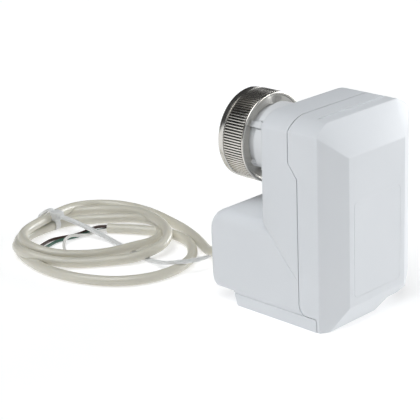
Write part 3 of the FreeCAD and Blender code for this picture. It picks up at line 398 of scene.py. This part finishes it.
def make_materials():
    """A material for each slot of the record, by the slot's name."""
    across_y, along_z = (1, 14, 1), (1, 1, 8)
    shell = {"dark": (0.70, 0.725, 0.75), "light": (0.74, 0.76, 0.785), "roughness": 0.34,
             "Specular_IOR_Level": 0.2}
    return {
        "casing_plastic": moulded("casing_plastic", **shell),
        "neck_plastic": moulded("neck_plastic", (0.72, 0.735, 0.75), (0.76, 0.775, 0.79), 0.34),
        "label_film": moulded("label_film", **shell),
        "plated_nut": nickel(),
        "pin_brass": metal("pin_brass", (0.50, 0.36, 0.14), (0.62, 0.46, 0.20), 0.35, across_y),
        "gear_plastic": moulded(
            "gear_plastic", (0.78, 0.76, 0.69), (0.84, 0.82, 0.76), 0.36,
            Subsurface_Weight=0.15, Subsurface_Radius=(0.002, 0.0018, 0.0014)),
        "steel_parts": metal(
            "steel_parts", (0.46, 0.46, 0.45), (0.58, 0.58, 0.56), 0.33, along_z),
        "motor_steel": metal(
            "motor_steel", (0.42, 0.43, 0.43), (0.52, 0.53, 0.53), 0.4, across_y),
        "bearing_bronze": metal("bearing_bronze", (0.30, 0.17, 0.08), (0.42, 0.27, 0.14), 0.5),
        "dark_plastic": moulded(
            "dark_plastic", (0.012, 0.012, 0.013), (0.022, 0.022, 0.024), 0.42),
        "board_laminate": laminate(),
        "header_plastic": moulded("header_plastic", (0.70, 0.68, 0.60), (0.78, 0.76, 0.69), 0.4),
        "cable_sheath": sheath(),
        "wire_brown": insulation("wire_brown", (0.035, 0.018, 0.014), (0.06, 0.03, 0.022)),
        "wire_green": insulation("wire_green", (0.035, 0.095, 0.07), (0.055, 0.14, 0.10)),
        "wire_white": insulation("wire_white", (0.66, 0.65, 0.62), (0.78, 0.77, 0.74)),
        "tie_nylon": nylon(),
    }


# ---- casing, in millimetres --------------------------------------------------------

HALF = 26.0                # half width of the body
TOP = 78.3
ARC_FOOT = 73.73           # where the rounded top corner starts on the side
ARC_IN = 17.35             # half width of the flat top
ARC_RADIUS, ARC_STEPS = 14.0, 9
FACET_ANGLE = math.radians(5.2)    # more than between two facets of a rounded corner
SOFT_EDGE = 0.21           # edges of the cover sharper than this, in radians, are rounded
RIM_EDGE = 0.6             # and those round the top of the block that are sharper than this
FRONT, FRONT_HALF = -31.25, 15.95
BEVEL_Y = -25.25           # rear edge of the front bevels
FACE_TOP, FACE_BOTTOM = 65.3, 8.3
CHIN_Y = -27.25            # where the slope under the face reaches the floor
BROW = (-24.4, 77.9)       # rear edge of the brow, y and z
FACET_TIP = (20.0, -24.4, 77.5)    # top of the small facet between bevel and brow
CROWN_Y = -19.35
CROWN_STEP, CROWN_FALL, CROWN_RUN = 0.36, 0.05, 9.0    # step down in front of the crown
COVER_BACK = 12.0          # the cover's planes go past the parting line to here
BACK = 2.15
SLOPE = ((-14.85, 18.2), (19.3, -17.0))    # end of the block below: point and normal, y and z
SHOULDER = 37.0            # edges of the block above this are rounded
CORNER_LOW = 73.0          # just under the rounded top corners
BLOCK_FRONT = -30.0        # the block and the lip start here, inside the cover, before the seam cut
BLOCK_ROUND, RIM_ROUND = 2.0, 1.2  # rounding of the block's rear edges, and again round its top
BOX_HALF, BOX_TOP, BOX_BACK = 25.95, 36.4, 30.65
BOX_FRONT, ROOM_FRONT = -20.0, -32.0       # where the motor box and the room in it start
BOX_ROUND = 4.5            # rounding of the motor box along its sides
BOX_HEEL, BOX_CREST = 5.0, 9.0     # rounding of its rear edges, bottom and top
BOX_LOW = 0.4              # the side rounding's share of height along the bottom
FLOOR = 4.4                # underside of the casing, above the rib
HEEL = (13.5, 9.0)         # right chamfer of the underside: where it starts, and how high it ends
WALL = 2.0
RIB_LEFT, RIB_RIGHT = -25.95, 3.0      # left side of the rib and right end of its flat
RIB_BACK = 15.5
LIP_INSET, LIP_REACH = 1.0, 2.2    # the housing's lip inside the cover
LIP_CLEAR, LIP_SHORT = 0.1, 0.2    # free room beside the lip and before its end
LABEL = (13.3, 11.3, 48.2, 1.9)    # half width, bottom, top and corner radius of the label
LABEL_DEEP = 0.3
LABEL_PLAY, LABEL_SHIFT, LABEL_SUNK = (0.12, 0.05), 0.07, 0.03    # how it sits in its recess
COVER_ROUND = 1.15
SEAM_GAP = 0.4
SEAM_UPPER, SEAM_LOWER = (-11.25, 62.2), (-15.35, 56.8)    # ends of the seam's sloping part
SEAM_BEND = (2.95, 4.8)    # run and rise of the bend above the floor
SEAM_TAIL = [(-23.2, 4.8), (-23.6, 3.6), (-23.95, -3.0)]
SEAM_TOP, SEAM_REAR = 90.0, 80.0   # the cutting prisms reach this high and this far back
CREASE = ((2.6, 37.9), (-14.4, 18.7))      # ends of the crease on each side, y and z
CREASE_DEEP, CREASE_SPREAD = 0.27, 1.3
RIB_GROOVE = ((24.0, 4.7), (-17.5, 4.9))   # ends of the groove above the rib, y and z
RIB_GROOVE_DEEP, RIB_GROOVE_SPREAD = 0.5, 0.9
SIDES = (-1, 1)


def seam_line(shift):
    """The parting line from top to bottom, moved back by shift, as (y, z) points."""
    run, rise = SEAM_BEND
    foot = SEAM_LOWER[0]
    bend = [(foot - run * (1 - math.cos(a)), 2 * rise - rise * math.sin(a))
            for a in [math.radians(15 * n) for n in range(7)]]
    points = [(SEAM_UPPER[0], SEAM_TOP), SEAM_UPPER, SEAM_LOWER] + bend + SEAM_TAIL
    return [(y + shift, z - (shift if n > 4 else 0.0)) for n, (y, z) in enumerate(points)]


def behind_seam(name, shift, side):
    """A wide prism on one side of the parting line: side 1 is behind it, -1 in front."""
    low = SEAM_TAIL[-1][1]
    outline = seam_line(shift) + [(SEAM_REAR * side, low), (SEAM_REAR * side, SEAM_TOP)]
    return prism(name, 0, outline, -WIDE, WIDE)


def corner_planes():
    """Planes round both long top corners, through points on their arcs."""
    chord = Vector((HALF - ARC_IN, TOP - ARC_FOOT))
    middle = Vector((HALF + ARC_IN, TOP + ARC_FOOT)) / 2
    inward = Vector((-chord.y, -chord.x)).normalized()
    centre = middle + inward * math.sqrt(ARC_RADIUS ** 2 - chord.length_squared / 4)
    start = math.atan2(ARC_FOOT - centre.y, HALF - centre.x)
    end = math.atan2(TOP - centre.y, ARC_IN - centre.x)
    planes = []
    for n in range(ARC_STEPS):
        angle = start + (end - start) * (n + 0.5) / ARC_STEPS
        reach = ARC_RADIUS * math.cos((end - start) / ARC_STEPS / 2)
        x, z = centre.x + reach * math.cos(angle), centre.y + reach * math.sin(angle)
        planes += [((x, 0, z), (math.cos(angle), 0, math.sin(angle))),
                   ((-x, 0, z), (-math.cos(angle), 0, math.sin(angle)))]
    return planes


def side_planes():
    """Both sides and the top."""
    return [((HALF, 0, 0), (1, 0, 0)), ((-HALF, 0, 0), (-1, 0, 0)), ((0, 0, TOP), (0, 0, 1))]


def heel_plane():
    """The chamfer at the right of the underside."""
    return (HEEL[0], 0, FLOOR), (HEEL[1] - FLOOR, 0, HEEL[0] - HALF)


def above(height):
    """The plane that keeps what is above a height."""
    return (0, 0, height), (0, 0, -1)


def cover_planes():
    """The cover's outside: sides, face, brow, crown, chin, and a bevel and a facet at each side."""
    brow_run, brow_rise = BROW[0] - FRONT, BROW[1] - FACE_TOP
    planes = side_planes() + [
        ((0, FRONT, 0), (0, -1, 0)), ((0, COVER_BACK, 0), (0, 1, 0)), above(0),
        ((0, FRONT, FACE_TOP), (0, -brow_rise, brow_run)),
        ((0, CROWN_Y, TOP), (0, BROW[1] - TOP, CROWN_Y - BROW[0])),
        ((0, FRONT, FACE_BOTTOM), (0, -FACE_BOTTOM, FRONT - CHIN_Y))]
    for side in SIDES:
        edge = (side * HALF, BEVEL_Y, 0)
        planes.append((edge, (side * (BEVEL_Y - FRONT), FRONT_HALF - HALF, 0)))
        low = Vector((side * FRONT_HALF, FRONT, FACE_TOP))
        corner = Vector((side * HALF, BEVEL_Y, ARC_FOOT))
        tip = Vector((side * FACET_TIP[0], FACET_TIP[1], FACET_TIP[2]))
        planes.append((low, (corner - low).cross(tip - low) * side))
    return planes + corner_planes()


def block_planes():
    """The upper block of the housing, cut off below by a slope."""
    point, normal = SLOPE
    rear = [((0, BACK, 0), (0, 1, 0)), ((0, *point), (0, *normal))]
    return side_planes() + rear + corner_planes()


def lowest(edge, axis):
    return min(v.co[axis] for v in edge.verts)


def front_cover():
    """The cover shell: hollow, with a rebate for the lip and a recess for the label."""
    outer = cut_by_planes(cover_planes())
    round_edges(outer, COVER_ROUND, lambda e: e.calc_face_angle(0.0) > SOFT_EDGE
                and lowest(e, 1) < COVER_BACK - 1)
    cover = to_piece("cover_shell", outer)
    beside = HALF + 9.0
    under = [(RIB_RIGHT, -2.0), (RIB_RIGHT, 0.0), (RIB_RIGHT + 5.0, FLOOR), (HEEL[0], FLOOR),
             (HALF, HEEL[1]), (beside, HEEL[1] + 3.3), (beside, -2.0)]
    combine(cover, prism("under_tool", 1, under, -40, 20), "DIFFERENCE")
    combine(cover, behind_seam("seam_tool", -SEAM_GAP, 1), "DIFFERENCE")
    room = cut_by_planes(inset_planes(cover_planes(), WALL) + [above(FLOOR + WALL)])
    combine(cover, to_piece("cover_room", room), "DIFFERENCE")
    inner = inset_planes(cover_planes() + [heel_plane()], LIP_INSET - LIP_CLEAR)
    rebate = to_piece("cover_rebate", cut_by_planes(inner + [above(FLOOR + LIP_INSET)]))
    combine(rebate, behind_seam("rebate_tool", -SEAM_GAP - LIP_REACH, -1), "DIFFERENCE")
    combine(cover, rebate, "DIFFERENCE")
    front, low = CROWN_Y - CROWN_RUN, TOP - CROWN_STEP
    step = [(CROWN_Y, low), (CROWN_Y, TOP + 2), (front, TOP + 2), (front, low - CROWN_FALL)]
    combine(cover, prism("crown_tool", 0, step, -WIDE, WIDE), "DIFFERENCE")
    recess = prism("recess", 1, label_outline(*LABEL), FRONT - 2, FRONT + LABEL_DEEP)
    return combine(cover, recess, "DIFFERENCE")


def label_plate():
    """The blank label, almost filling its recess and a hair below the face round it."""
    half, bottom, top, radius = LABEL
    beside, end = LABEL_PLAY
    outline = label_outline(half - beside, bottom + end, top - end, radius - end)
    return prism("label_plate", 1, [(x + LABEL_SHIFT, z) for x, z in outline],
                 FRONT + LABEL_SUNK, FRONT + LABEL_DEEP + 0.02)


def label_outline(half, bottom, top, radius):
    """A rectangle with round corners, as (x, z) points."""
    points = []
    for x, z, start in ((half, top, 0), (-half, top, 90), (-half, bottom, 180),
                        (half, bottom, 270)):
        centre = (x - math.copysign(radius, x), z - radius if z == top else z + radius)
        points += arc(centre, radius, start, start + 90, 6)
    return points


def bottom_rib():
    """The low rib under the housing, left of the middle."""
    top, front = FLOOR + 1.6, -27
    rib = cut_by_planes([
        ((RIB_LEFT, 0, 0), (-1, 0, 0.03)), ((RIB_RIGHT, 0, 0), (FLOOR, 0, -5.0)), above(0),
        ((0, 0, top), (0, 0, 1)), ((0, front, 0), (0, -1, 0)), ((0, RIB_BACK, 0), (0, 1, -0.35))])
    round_edges(rib, 0.6, lambda e: max(v.co.z for v in e.verts) < top - 0.1
                and lowest(e, 1) > front + 1)
    return to_piece("rib_rear", rib)


def rear_housing():
    """The housing: block, motor box, rib and lip in one hollow shell, with its creases."""
    front = ((0, BLOCK_FRONT, 0), (0, -1, 0))
    block = cut_by_planes(block_planes() + [front])
    round_edges(block, BLOCK_ROUND, lambda e: e.calc_face_angle(0.0) >= FACET_ANGLE
                and lowest(e, 1) > BLOCK_FRONT + 1 and lowest(e, 2) > SHOULDER)
    round_edges(block, RIM_ROUND, lambda e: e.calc_face_angle(0.0) > RIM_EDGE
                and lowest(e, 2) > CORNER_LOW)
    housing = to_piece("housing_shell", block)
    combine(housing, motor_box("motor_box", 0.0, BOX_FRONT), "UNION")
    combine(housing, bottom_rib(), "UNION")
    for side in SIDES:
        start, end = ((side * (HALF - CREASE_DEEP), *place) for place in CREASE)
        combine(housing, groove_tool(start, end, (side, 0, 0), CREASE_SPREAD), "DIFFERENCE")
    start, end = ((RIB_GROOVE_DEEP - HALF, *place) for place in RIB_GROOVE)
    combine(housing, groove_tool(start, end, (-1, 0, 0), RIB_GROOVE_SPREAD), "DIFFERENCE")
    combine(housing, behind_seam("seam_tool", 0.0, -1), "DIFFERENCE")
    inner = inset_planes(side_planes() + [above(FLOOR), heel_plane()] + corner_planes(), LIP_INSET)
    lip = to_piece("lip", cut_by_planes(inner + [front, ((0, -8, 0), (0, 1, 0))]))
    lip_end = LIP_SHORT - SEAM_GAP - LIP_REACH
    combine(lip, behind_seam("lip_tool", lip_end, -1), "DIFFERENCE")
    combine(housing, lip, "UNION")
    room = cut_by_planes(inset_planes(block_planes(), WALL) + [front])
    combine(housing, to_piece("block_room", room), "DIFFERENCE")
    return combine(housing, motor_box("box_room", WALL, ROOM_FRONT), "DIFFERENCE")


def motor_box(name, inset, front):
    """The box behind the block that holds the motor, or with an inset the room inside it."""
    half, back, top, bottom = BOX_HALF - inset, BOX_BACK - inset, BOX_TOP - inset, FLOOR + inset
    rounding, heel, crest = BOX_ROUND - inset, BOX_HEEL - inset, BOX_CREST - inset
    solid = bmesh.new()
    rings = []
    for side in SIDES:
        for n in range(9):
            angle = math.radians(90 * n / 8)
            if side > 0:
                angle = math.pi / 2 - angle
            drop = rounding * (1 - math.sin(angle))
            low = drop * BOX_LOW
            outline = [(front, bottom + low)]
            outline += [(back - heel + (heel - drop) * math.sin(a),
                         bottom + heel - (heel - low) * math.cos(a))
                        for a in [math.radians(90 * k / 5) for k in range(6)]]
            outline += arc((back - crest, top - crest), crest - drop, 0, 90, 9)
            outline.append((front, top - drop))
            across = side * (half - rounding * (1 - math.cos(angle)))
            rings.append([solid.verts.new((across, y, z)) for y, z in outline])
    skin(solid, rings)
    box = to_piece(name, solid)
    across, rise = HALF - HEEL[0], HEEL[1] - FLOOR
    deep = FLOOR - 3 * rise
    below = [(HEEL[0] - 3 * across, deep), (HEEL[0], FLOOR), (HALF + across, HEEL[1] + rise),
             (HALF + across, deep)]
    below = [(x, z + inset) for x, z in below]
    return combine(box, prism("heel_tool", 1, below, -WIDE, WIDE), "DIFFERENCE")


def build_casing(materials):
    plastic = materials["casing_plastic"]
    finish_piece(front_cover(), plastic, "casing", ["front_cover"])
    finish_piece(rear_housing(), plastic, "casing", ["rear_housing"])
    finish_piece(label_plate(), materials["label_film"], "casing", ["label_panel"])


# ---- coupling nut, in millimetres --------------------------------------------------

NUT_START, NUT_END = 18.65, 31.5
THREAD_RADIUS, THREAD_START, PITCH = 14.2, 24.0, 1.5
RIBS = 100
RIB_SHAPE = (-0.07, 0.0, 0.0, -0.07, -GROOVE, -GROOVE)     # radius over one rib and groove


def nut_profile():
    """Half section of the nut as (radius, y, knurled): outside, thread, then the flange."""
    start, end, low, high, radius = NUT_START, NUT_END, *KNURL, NUT_RADIUS
    outside = [(16.7, start, 0), (17.0, start, 0), (17.28, start + 0.12, 0),
               (17.42, start + 0.35, 0), (17.42, low - 0.3, 0), (17.0, low - 0.1, 0),
               (17.46, low + 0.1, 1), (radius, low + 0.4, 1), (radius, (low + high) / 2, 1),
               (radius, high - 0.4, 1), (17.4, high - 0.1, 1), (17.05, high + 0.1, 0),
               (17.05, high + 0.3, 0), (17.4, high + 0.5, 0), (17.45, end - 0.7, 0),
               (17.2, end - 0.25, 0), (16.8, end, 0), (THREAD_RADIUS + 1.1, end, 0)]
    crest, root = THREAD_RADIUS + 0.05, THREAD_RADIUS + 0.95
    thread = []
    y = end - 0.8
    while y > THREAD_START + PITCH:
        thread += [(crest, y, 0), (crest, y - 0.2, 0), (root, y - 0.85, 0), (root, y - 0.95, 0)]
        y -= PITCH
    inside = [(crest, THREAD_START, 0), (15.6, THREAD_START, 0), (15.6, start + 2.35, 0),
              (12.6, start + 2.35, 0), (12.6, start + 1.15, 0), (15.9, start + 1.15, 0),
              (16.2, start + 0.85, 0), (16.2, start + 0.3, 0), (16.4, start + 0.05, 0)]
    return outside + thread + inside


def coupling_nut(material):
    """Plated nut with straight ribs, a plain band at the valve end and its pipe thread."""
    profile = nut_profile()
    ring = bmesh.new()
    rings = []
    steps = RIBS * len(RIB_SHAPE)
    for step in range(steps):
        angle = 2 * math.pi * step / steps
        section = []
        for radius, y, knurled in profile:
            if knurled:
                radius += RIB_SHAPE[step % len(RIB_SHAPE)]
            place = (radius * math.cos(angle), y, radius * math.sin(angle))
            section.append(ring.verts.new(place))
        rings.append(section)
    skin(ring, rings, closed=True)
    bmesh.ops.translate(ring, vec=(0, 0, AXIS_Z), verts=ring.verts)
    piece = to_piece("nut_ring", ring)
    finish_piece(piece, material, "nut", ["coupling_nut"], 50)


# ---- cable, in millimetres ---------------------------------------------------------

CABLE_RADIUS = 2.1
WIRE_RADIUS = 0.65
LEAD_ROUTE = [
    (-2.0, 36.0, 10.6), (-2.0, 41.5, 10.3), (-1.7, 48.0, 7.2), (0.4, 54.6, 3.8), (4.4, 61.6, 2.2),
    (9.4, 70.6, 2.1), (13.3, 79.2, 2.1), (16.0, 87.2, 2.1), (17.9, 95.6, 2.1)]
COIL_ROUTE = [
    # the first turn: wide along the back, on the others at the left, inside them at the front
    (19.9, 104.6, 2.1), (20.9, 112.2, 2.1), (20.9, 119.6, 2.1), (19.8, 126.8, 2.1),
    (17.3, 133.0, 2.2), (12.9, 137.4, 2.6), (7.4, 139.9, 3.2), (1.2, 140.6, 3.9),
    (-5.2, 139.4, 4.6), (-12.6, 136.7, 5.4), (-20.0, 133.8, 6.1), (-26.5, 132.0, 6.3),
    (-32.0, 130.4, 6.3), (-37.2, 128.0, 6.3), (-42.0, 123.9, 6.3), (-45.3, 118.0, 6.2),
    (-46.1, 111.3, 5.8), (-44.2, 105.0, 4.9), (-39.8, 99.8, 3.8), (-34.0, 95.6, 2.9),
    (-27.4, 91.6, 2.4), (-20.0, 88.4, 2.4), (-12.5, 86.4, 2.7), (-5.5, 84.8, 2.4),
    # the second: small at the right and back, outside at the left and front
    (1.3, 85.8, 2.6), (7.0, 90.6, 3.4), (10.5, 98.6, 4.2), (10.3, 106.0, 3.9), (8.2, 112.6, 3.2),
    (4.8, 118.6, 2.6), (0.6, 124.2, 2.2), (-4.8, 129.2, 2.1), (-10.6, 132.4, 2.1),
    (-17.0, 133.4, 2.1), (-23.6, 133.4, 2.1), (-30.0, 132.5, 2.2), (-36.6, 130.2, 2.5),
    (-42.7, 126.2, 3.3), (-47.5, 120.8, 4.4), (-50.2, 114.0, 5.0), (-49.9, 107.0, 4.5),
    (-47.1, 100.6, 3.4), (-42.8, 95.0, 2.5), (-37.7, 90.0, 2.1), (-32.1, 85.5, 2.1),
    (-26.8, 81.2, 2.2), (-21.3, 77.4, 2.5), (-14.8, 75.9, 3.2),
    # the third: over the others at the right, along the back behind them, low round the left
    (-7.7, 75.4, 4.1), (-1.8, 78.0, 5.2), (2.5, 82.3, 6.0), (6.2, 89.0, 6.3), (9.0, 96.5, 6.2),
    (11.2, 104.3, 5.7), (12.9, 111.4, 5.0), (12.3, 118.4, 4.2), (10.6, 124.6, 3.5),
    (8.4, 130.4, 2.8), (4.6, 135.6, 2.3), (-0.6, 139.2, 2.1), (-6.8, 140.9, 2.1),
    (-13.6, 140.5, 2.1), (-20.4, 139.2, 2.1), (-27.4, 137.2, 2.1), (-34.0, 134.2, 2.1),
    (-40.0, 129.6, 2.1), (-45.0, 123.0, 2.1), (-48.6, 115.0, 2.1), (-50.9, 106.8, 2.1)]
LOOP_ROUTE = [
    (-52.2, 98.0, 2.1), (-51.8, 87.6, 2.1), (-49.2, 76.6, 2.1), (-44.0, 66.8, 2.1),
    (-36.5, 59.8, 2.1), (-27.5, 56.0, 2.1), (-16.0, 55.8, 2.1), (-5.2, 60.2, 2.1),
    (1.4, 66.8, 2.1), (6.2, 73.8, 2.1), (8.0, 81.6, 2.1), (7.7, 89.2, 2.1), (4.6, 96.8, 2.1),
    (0.6, 104.5, 2.1), (-4.6, 112.2, 2.1)]
BROWN_ROUTE = [
    (-4.6, 112.2, 3.05), (-6.2, 116.0, 2.6), (-8.6, 118.8, 1.5), (-12.4, 119.4, 0.8),
    (-17.0, 120.2, 0.65), (-21.4, 122.2, 0.65), (-26.4, 123.8, 0.65), (-31.0, 122.8, 0.65),
    (-35.4, 121.2, 0.65)]
GREEN_ROUTE = [
    (-4.0, 112.5, 1.6), (-6.0, 115.2, 1.1), (-8.8, 117.6, 0.65), (-12.6, 118.0, 0.65),
    (-17.0, 118.1, 0.65), (-21.4, 119.6, 0.65), (-26.2, 120.6, 0.65), (-30.6, 119.6, 0.65),
    (-34.2, 118.4, 0.65)]
WHITE_ROUTE = [
    (-5.2, 111.9, 1.6), (-7.4, 114.6, 1.3), (-10.4, 116.0, 0.7), (-14.0, 116.0, 0.8),
    (-17.6, 116.4, 1.8), (-21.0, 117.8, 2.4), (-24.6, 117.2, 1.7), (-27.6, 114.6, 0.8),
    (-30.0, 111.4, 0.65), (-31.2, 109.4, 0.65)]
CONDUCTORS = (("brown", BROWN_ROUTE, 0.0355), ("green", GREEN_ROUTE, 0.0315),
              ("white", WHITE_ROUTE, 0.033))           # lengths in metres


def spline_piece(name, points, radius, resolution=8):
    """A round tube along a smooth NURBS line with these control points."""
    data = bpy.data.curves.new(name, "CURVE")
    data.dimensions = "3D"
    data.bevel_depth = radius * MM
    data.bevel_resolution = 5
    data.use_fill_caps = True
    spline = data.splines.new("NURBS")
    spline.points.add(len(points) - 1)
    for point, place in zip(spline.points, points):
        point.co = (*(c * MM for c in place), 1)
    spline.order_u = 3
    spline.use_endpoint_u = True
    spline.resolution_u = resolution
    return link(name, data)


def curve_line(points, resolution):
    """Points along the smooth NURBS line of these control points, in metres."""
    bare = spline_piece("line", points, 0.0, resolution)
    graph = bpy.context.evaluated_depsgraph_get()
    mesh = bpy.data.meshes.new_from_object(bare.evaluated_get(graph))
    line = [v.co.copy() for v in mesh.vertices]
    bpy.data.objects.remove(bare)
    return line


def build_cable(materials):
    """The lead, its coil and outer loop as one cord, and the three conductors at its end."""
    cable = spline_piece("cable", LEAD_ROUTE + COIL_ROUTE + LOOP_ROUTE, CABLE_RADIUS)
    finish_piece(cable, materials["cable_sheath"], "casing",
                 ["cable_lead", "cable_coil", "cable_loop"])
    for colour, points, length in CONDUCTORS:
        wire = spline_piece("conductor_" + colour, points, WIRE_RADIUS, 6)
        slot = "wire_" + colour
        finish_piece(wire, materials[slot], "casing", [slot])


# ---- cable tie, in millimetres -----------------------------------------------------

TIE_X = -16.4              # where the tie's band crosses the bundle
BUNDLE = [(133.4, 2.9), (140.4, 2.9), (136.0, 6.0)]    # strands inside the band, as (y, z)
STRAP_HALF, STRAP_THICK = 1.2, 0.9
LOCK_HALF = 2.3
LOCK_FRONT, LOCK_BACK = 128.9, 133.6
LOCK_LOW, LOCK_SLOPE, LOCK_HIGH = 4.9, 6.4, 9.0
TOOTH = 0.22               # depth of the teeth across the strap
TIE_TAIL = [
    (-16.0, 130.5, 6.9), (-15.2, 125.0, 6.3), (-13.8, 118.8, 4.9), (-12.5, 111.6, 3.3),
    (-11.9, 104.2, 1.7), (-12.4, 96.4, 0.7), (-13.8, 88.2, 0.5), (-15.4, 79.8, 0.5),
    (-17.0, 71.6, 1.0), (-18.3, 64.0, 2.6), (-18.4, 57.2, 4.7), (-15.2, 52.6, 5.2),
    (-10.2, 51.0, 5.0), (-4.6, 50.8, 4.6)]


def belt(radius):
    """Outline round the strands at this distance from their centres, in arcs and tangents."""
    outline = []
    count = len(BUNDLE)
    for n in range(count):
        before, here, after = (Vector(BUNDLE[(n + k) % count]) for k in (-1, 0, 1))
        first = math.degrees(math.atan2(*(here - before).yx)) - 90
        last = math.degrees(math.atan2(*(after - here).yx)) - 90
        while last < first:
            last += 360
        outline += arc(here, radius, first, last, 8)
    return [(y, max(z, 0.05)) for y, z in outline]


def band_piece():
    band = prism("tie_band", 0, belt(CABLE_RADIUS + STRAP_THICK),
                 TIE_X - STRAP_HALF, TIE_X + STRAP_HALF)
    room = [(y, max(z, 0.6)) for y, z in belt(CABLE_RADIUS)]
    return combine(band, prism("band_room", 0, room, TIE_X - 3, TIE_X + 3), "DIFFERENCE")


def lock_piece():
    lock = cut_by_planes([
        ((TIE_X + LOCK_HALF, 0, 0), (1, 0, 0)), ((TIE_X - LOCK_HALF, 0, 0), (-1, 0, 0)),
        ((0, LOCK_BACK, 0), (0, 1, 0)), ((0, LOCK_FRONT, 0), (0, -1, 0)),
        ((0, 0, LOCK_HIGH), (0, 0, 1)), above(LOCK_LOW),
        ((0, LOCK_FRONT, LOCK_SLOPE), (0, -1.3, -1.0))])
    round_edges(lock, 0.7, lambda e: True, 4)
    return to_piece("tie_lock", lock)


def strap_tail():
    """The long free end: a flat strap with teeth across its upper face, tapering at the tip."""
    line = curve_line(TIE_TAIL, 24)
    last = len(line) - 1
    thick = STRAP_THICK / 2 * MM
    solid = bmesh.new()
    rings = []
    for n, here in enumerate(line):
        along = (line[min(n + 1, last)] - line[max(n - 1, 0)]).normalized()
        side = along.cross(Vector((0, 0, 1))).normalized()
        rise = side.cross(along)
        left = last - n
        wide = STRAP_HALF * MM * min(1.0, 0.45 + left / 30)
        tooth = thick - (TOOTH * MM if n % 3 == 0 and left > 24 else 0.0)
        section = [(-1, -thick), (1, -thick), (1, thick), (0.72, thick), (0.68, tooth),
                   (-0.68, tooth), (-0.72, thick), (-1, thick)]
        rings.append([solid.verts.new(here + side * a * wide + rise * h) for a, h in section])
    skin(solid, rings)
    return to_piece("tie_tail", solid, 1.0)


def build_tie(material):
    for piece in (band_piece(), lock_piece(), strap_tail()):
        finish_piece(piece, material, "casing", ["cable_tie"])


# ---- pieces carried over from the CAD ----------------------------------------------

def dress_cad_nodes(materials):
    """Every CAD node that still shows gets the material of its slot."""
    slot_of = {row["node"]: row["material_slot"] for row in frame["record"]["subparts"]}
    for name, node in frame["nodes"].items():
        node.data.materials.clear()
        node.data.materials.append(materials[slot_of[name]])


# ---- stage -------------------------------------------------------------------------

FLOOR_SIZE, FLOOR_HEIGHT = 6, -0.0002      # metres
ROOM_COLOUR = (0.97, 0.985, 1, 1)
DIM_ROOM = 0.05
SOFT_LIGHTS = (             # direction, cosines where each starts and is full, and strength
    ((-0.38, -0.02, 0.92), (0.80, 0.98), 3.6),
    ((0.95, -0.32, -0.05), (0.86, 0.99), 9.5),
    ((-0.74, 0.66, -0.1), (0.90, 0.97), 1.1))
LAMP_AIM = (0, 0, 0.04)
LAMPS = (                   # name, place and size in metres, and power in watts
    ("left", (-1.0, 0.6, 0.33), 0.3, 0.3),
    ("front", (0.75, -1.0, 0.3), 0.25, 2.2))


def soft_light(world, side, reach, level, before):
    """Light that grows towards one side of the room, added to what came before."""
    nodes, links = world.node_tree.nodes, world.node_tree.links
    place = nodes.new("ShaderNodeTexCoord")
    toward = nodes.new("ShaderNodeVectorMath")
    toward.operation = "DOT_PRODUCT"
    toward.inputs[1].default_value = Vector(side).normalized()
    links.new(place.outputs["Generated"], toward.inputs[0])
    light = nodes.new("ShaderNodeMapRange")
    for socket, value in (("From Min", reach[0]), ("From Max", reach[1]), ("To Max", level)):
        light.inputs[socket].default_value = value
    links.new(toward.outputs["Value"], light.inputs["Value"])
    add = nodes.new("ShaderNodeMath")
    add.inputs[1].default_value = DIM_ROOM
    links.new(light.outputs["Result"], add.inputs[0])
    if before:
        links.new(before, add.inputs[1])
    return add.outputs["Value"]


def build_room():
    """A dim surround with three broad soft lights in it."""
    world = bpy.data.worlds.new("world")
    SCENE.world = world
    world.use_nodes = True
    background = world.node_tree.nodes["Background"]
    background.inputs["Color"].default_value = ROOM_COLOUR
    total = None
    for side, reach, level in SOFT_LIGHTS:
        total = soft_light(world, side, reach, level, total)
    world.node_tree.links.new(total, background.inputs["Strength"])


def build_stage():
    """A plain pale floor, the room and two small lamps."""
    bpy.ops.mesh.primitive_plane_add(size=FLOOR_SIZE, location=(0, 0, FLOOR_HEIGHT))
    floor = bpy.context.object
    floor.name = "floor"
    floor.data.materials.append(new_material("floor_white", (0.6, 0.6, 0.6), 0.9,
                                             Emission_Color=(1, 1, 1, 1), Emission_Strength=0.53))
    build_room()
    for name, place, size, power in LAMPS:
        data = bpy.data.lights.new(name, "AREA")
        data.size = size
        data.energy = power
        lamp = bpy.data.objects.new(name, data)
        SCENE.collection.objects.link(lamp)
        lamp.location = place
        lamp.rotation_euler = (Vector(LAMP_AIM) - lamp.location).to_track_quat("-Z", "Y").to_euler()
    SCENE.view_settings.view_transform = "Standard"


make_camera()
MATERIALS = make_materials()
build_cable(MATERIALS)
build_casing(MATERIALS)
coupling_nut(MATERIALS["plated_nut"])
build_tie(MATERIALS["tie_nylon"])
dress_cad_nodes(MATERIALS)
build_stage()
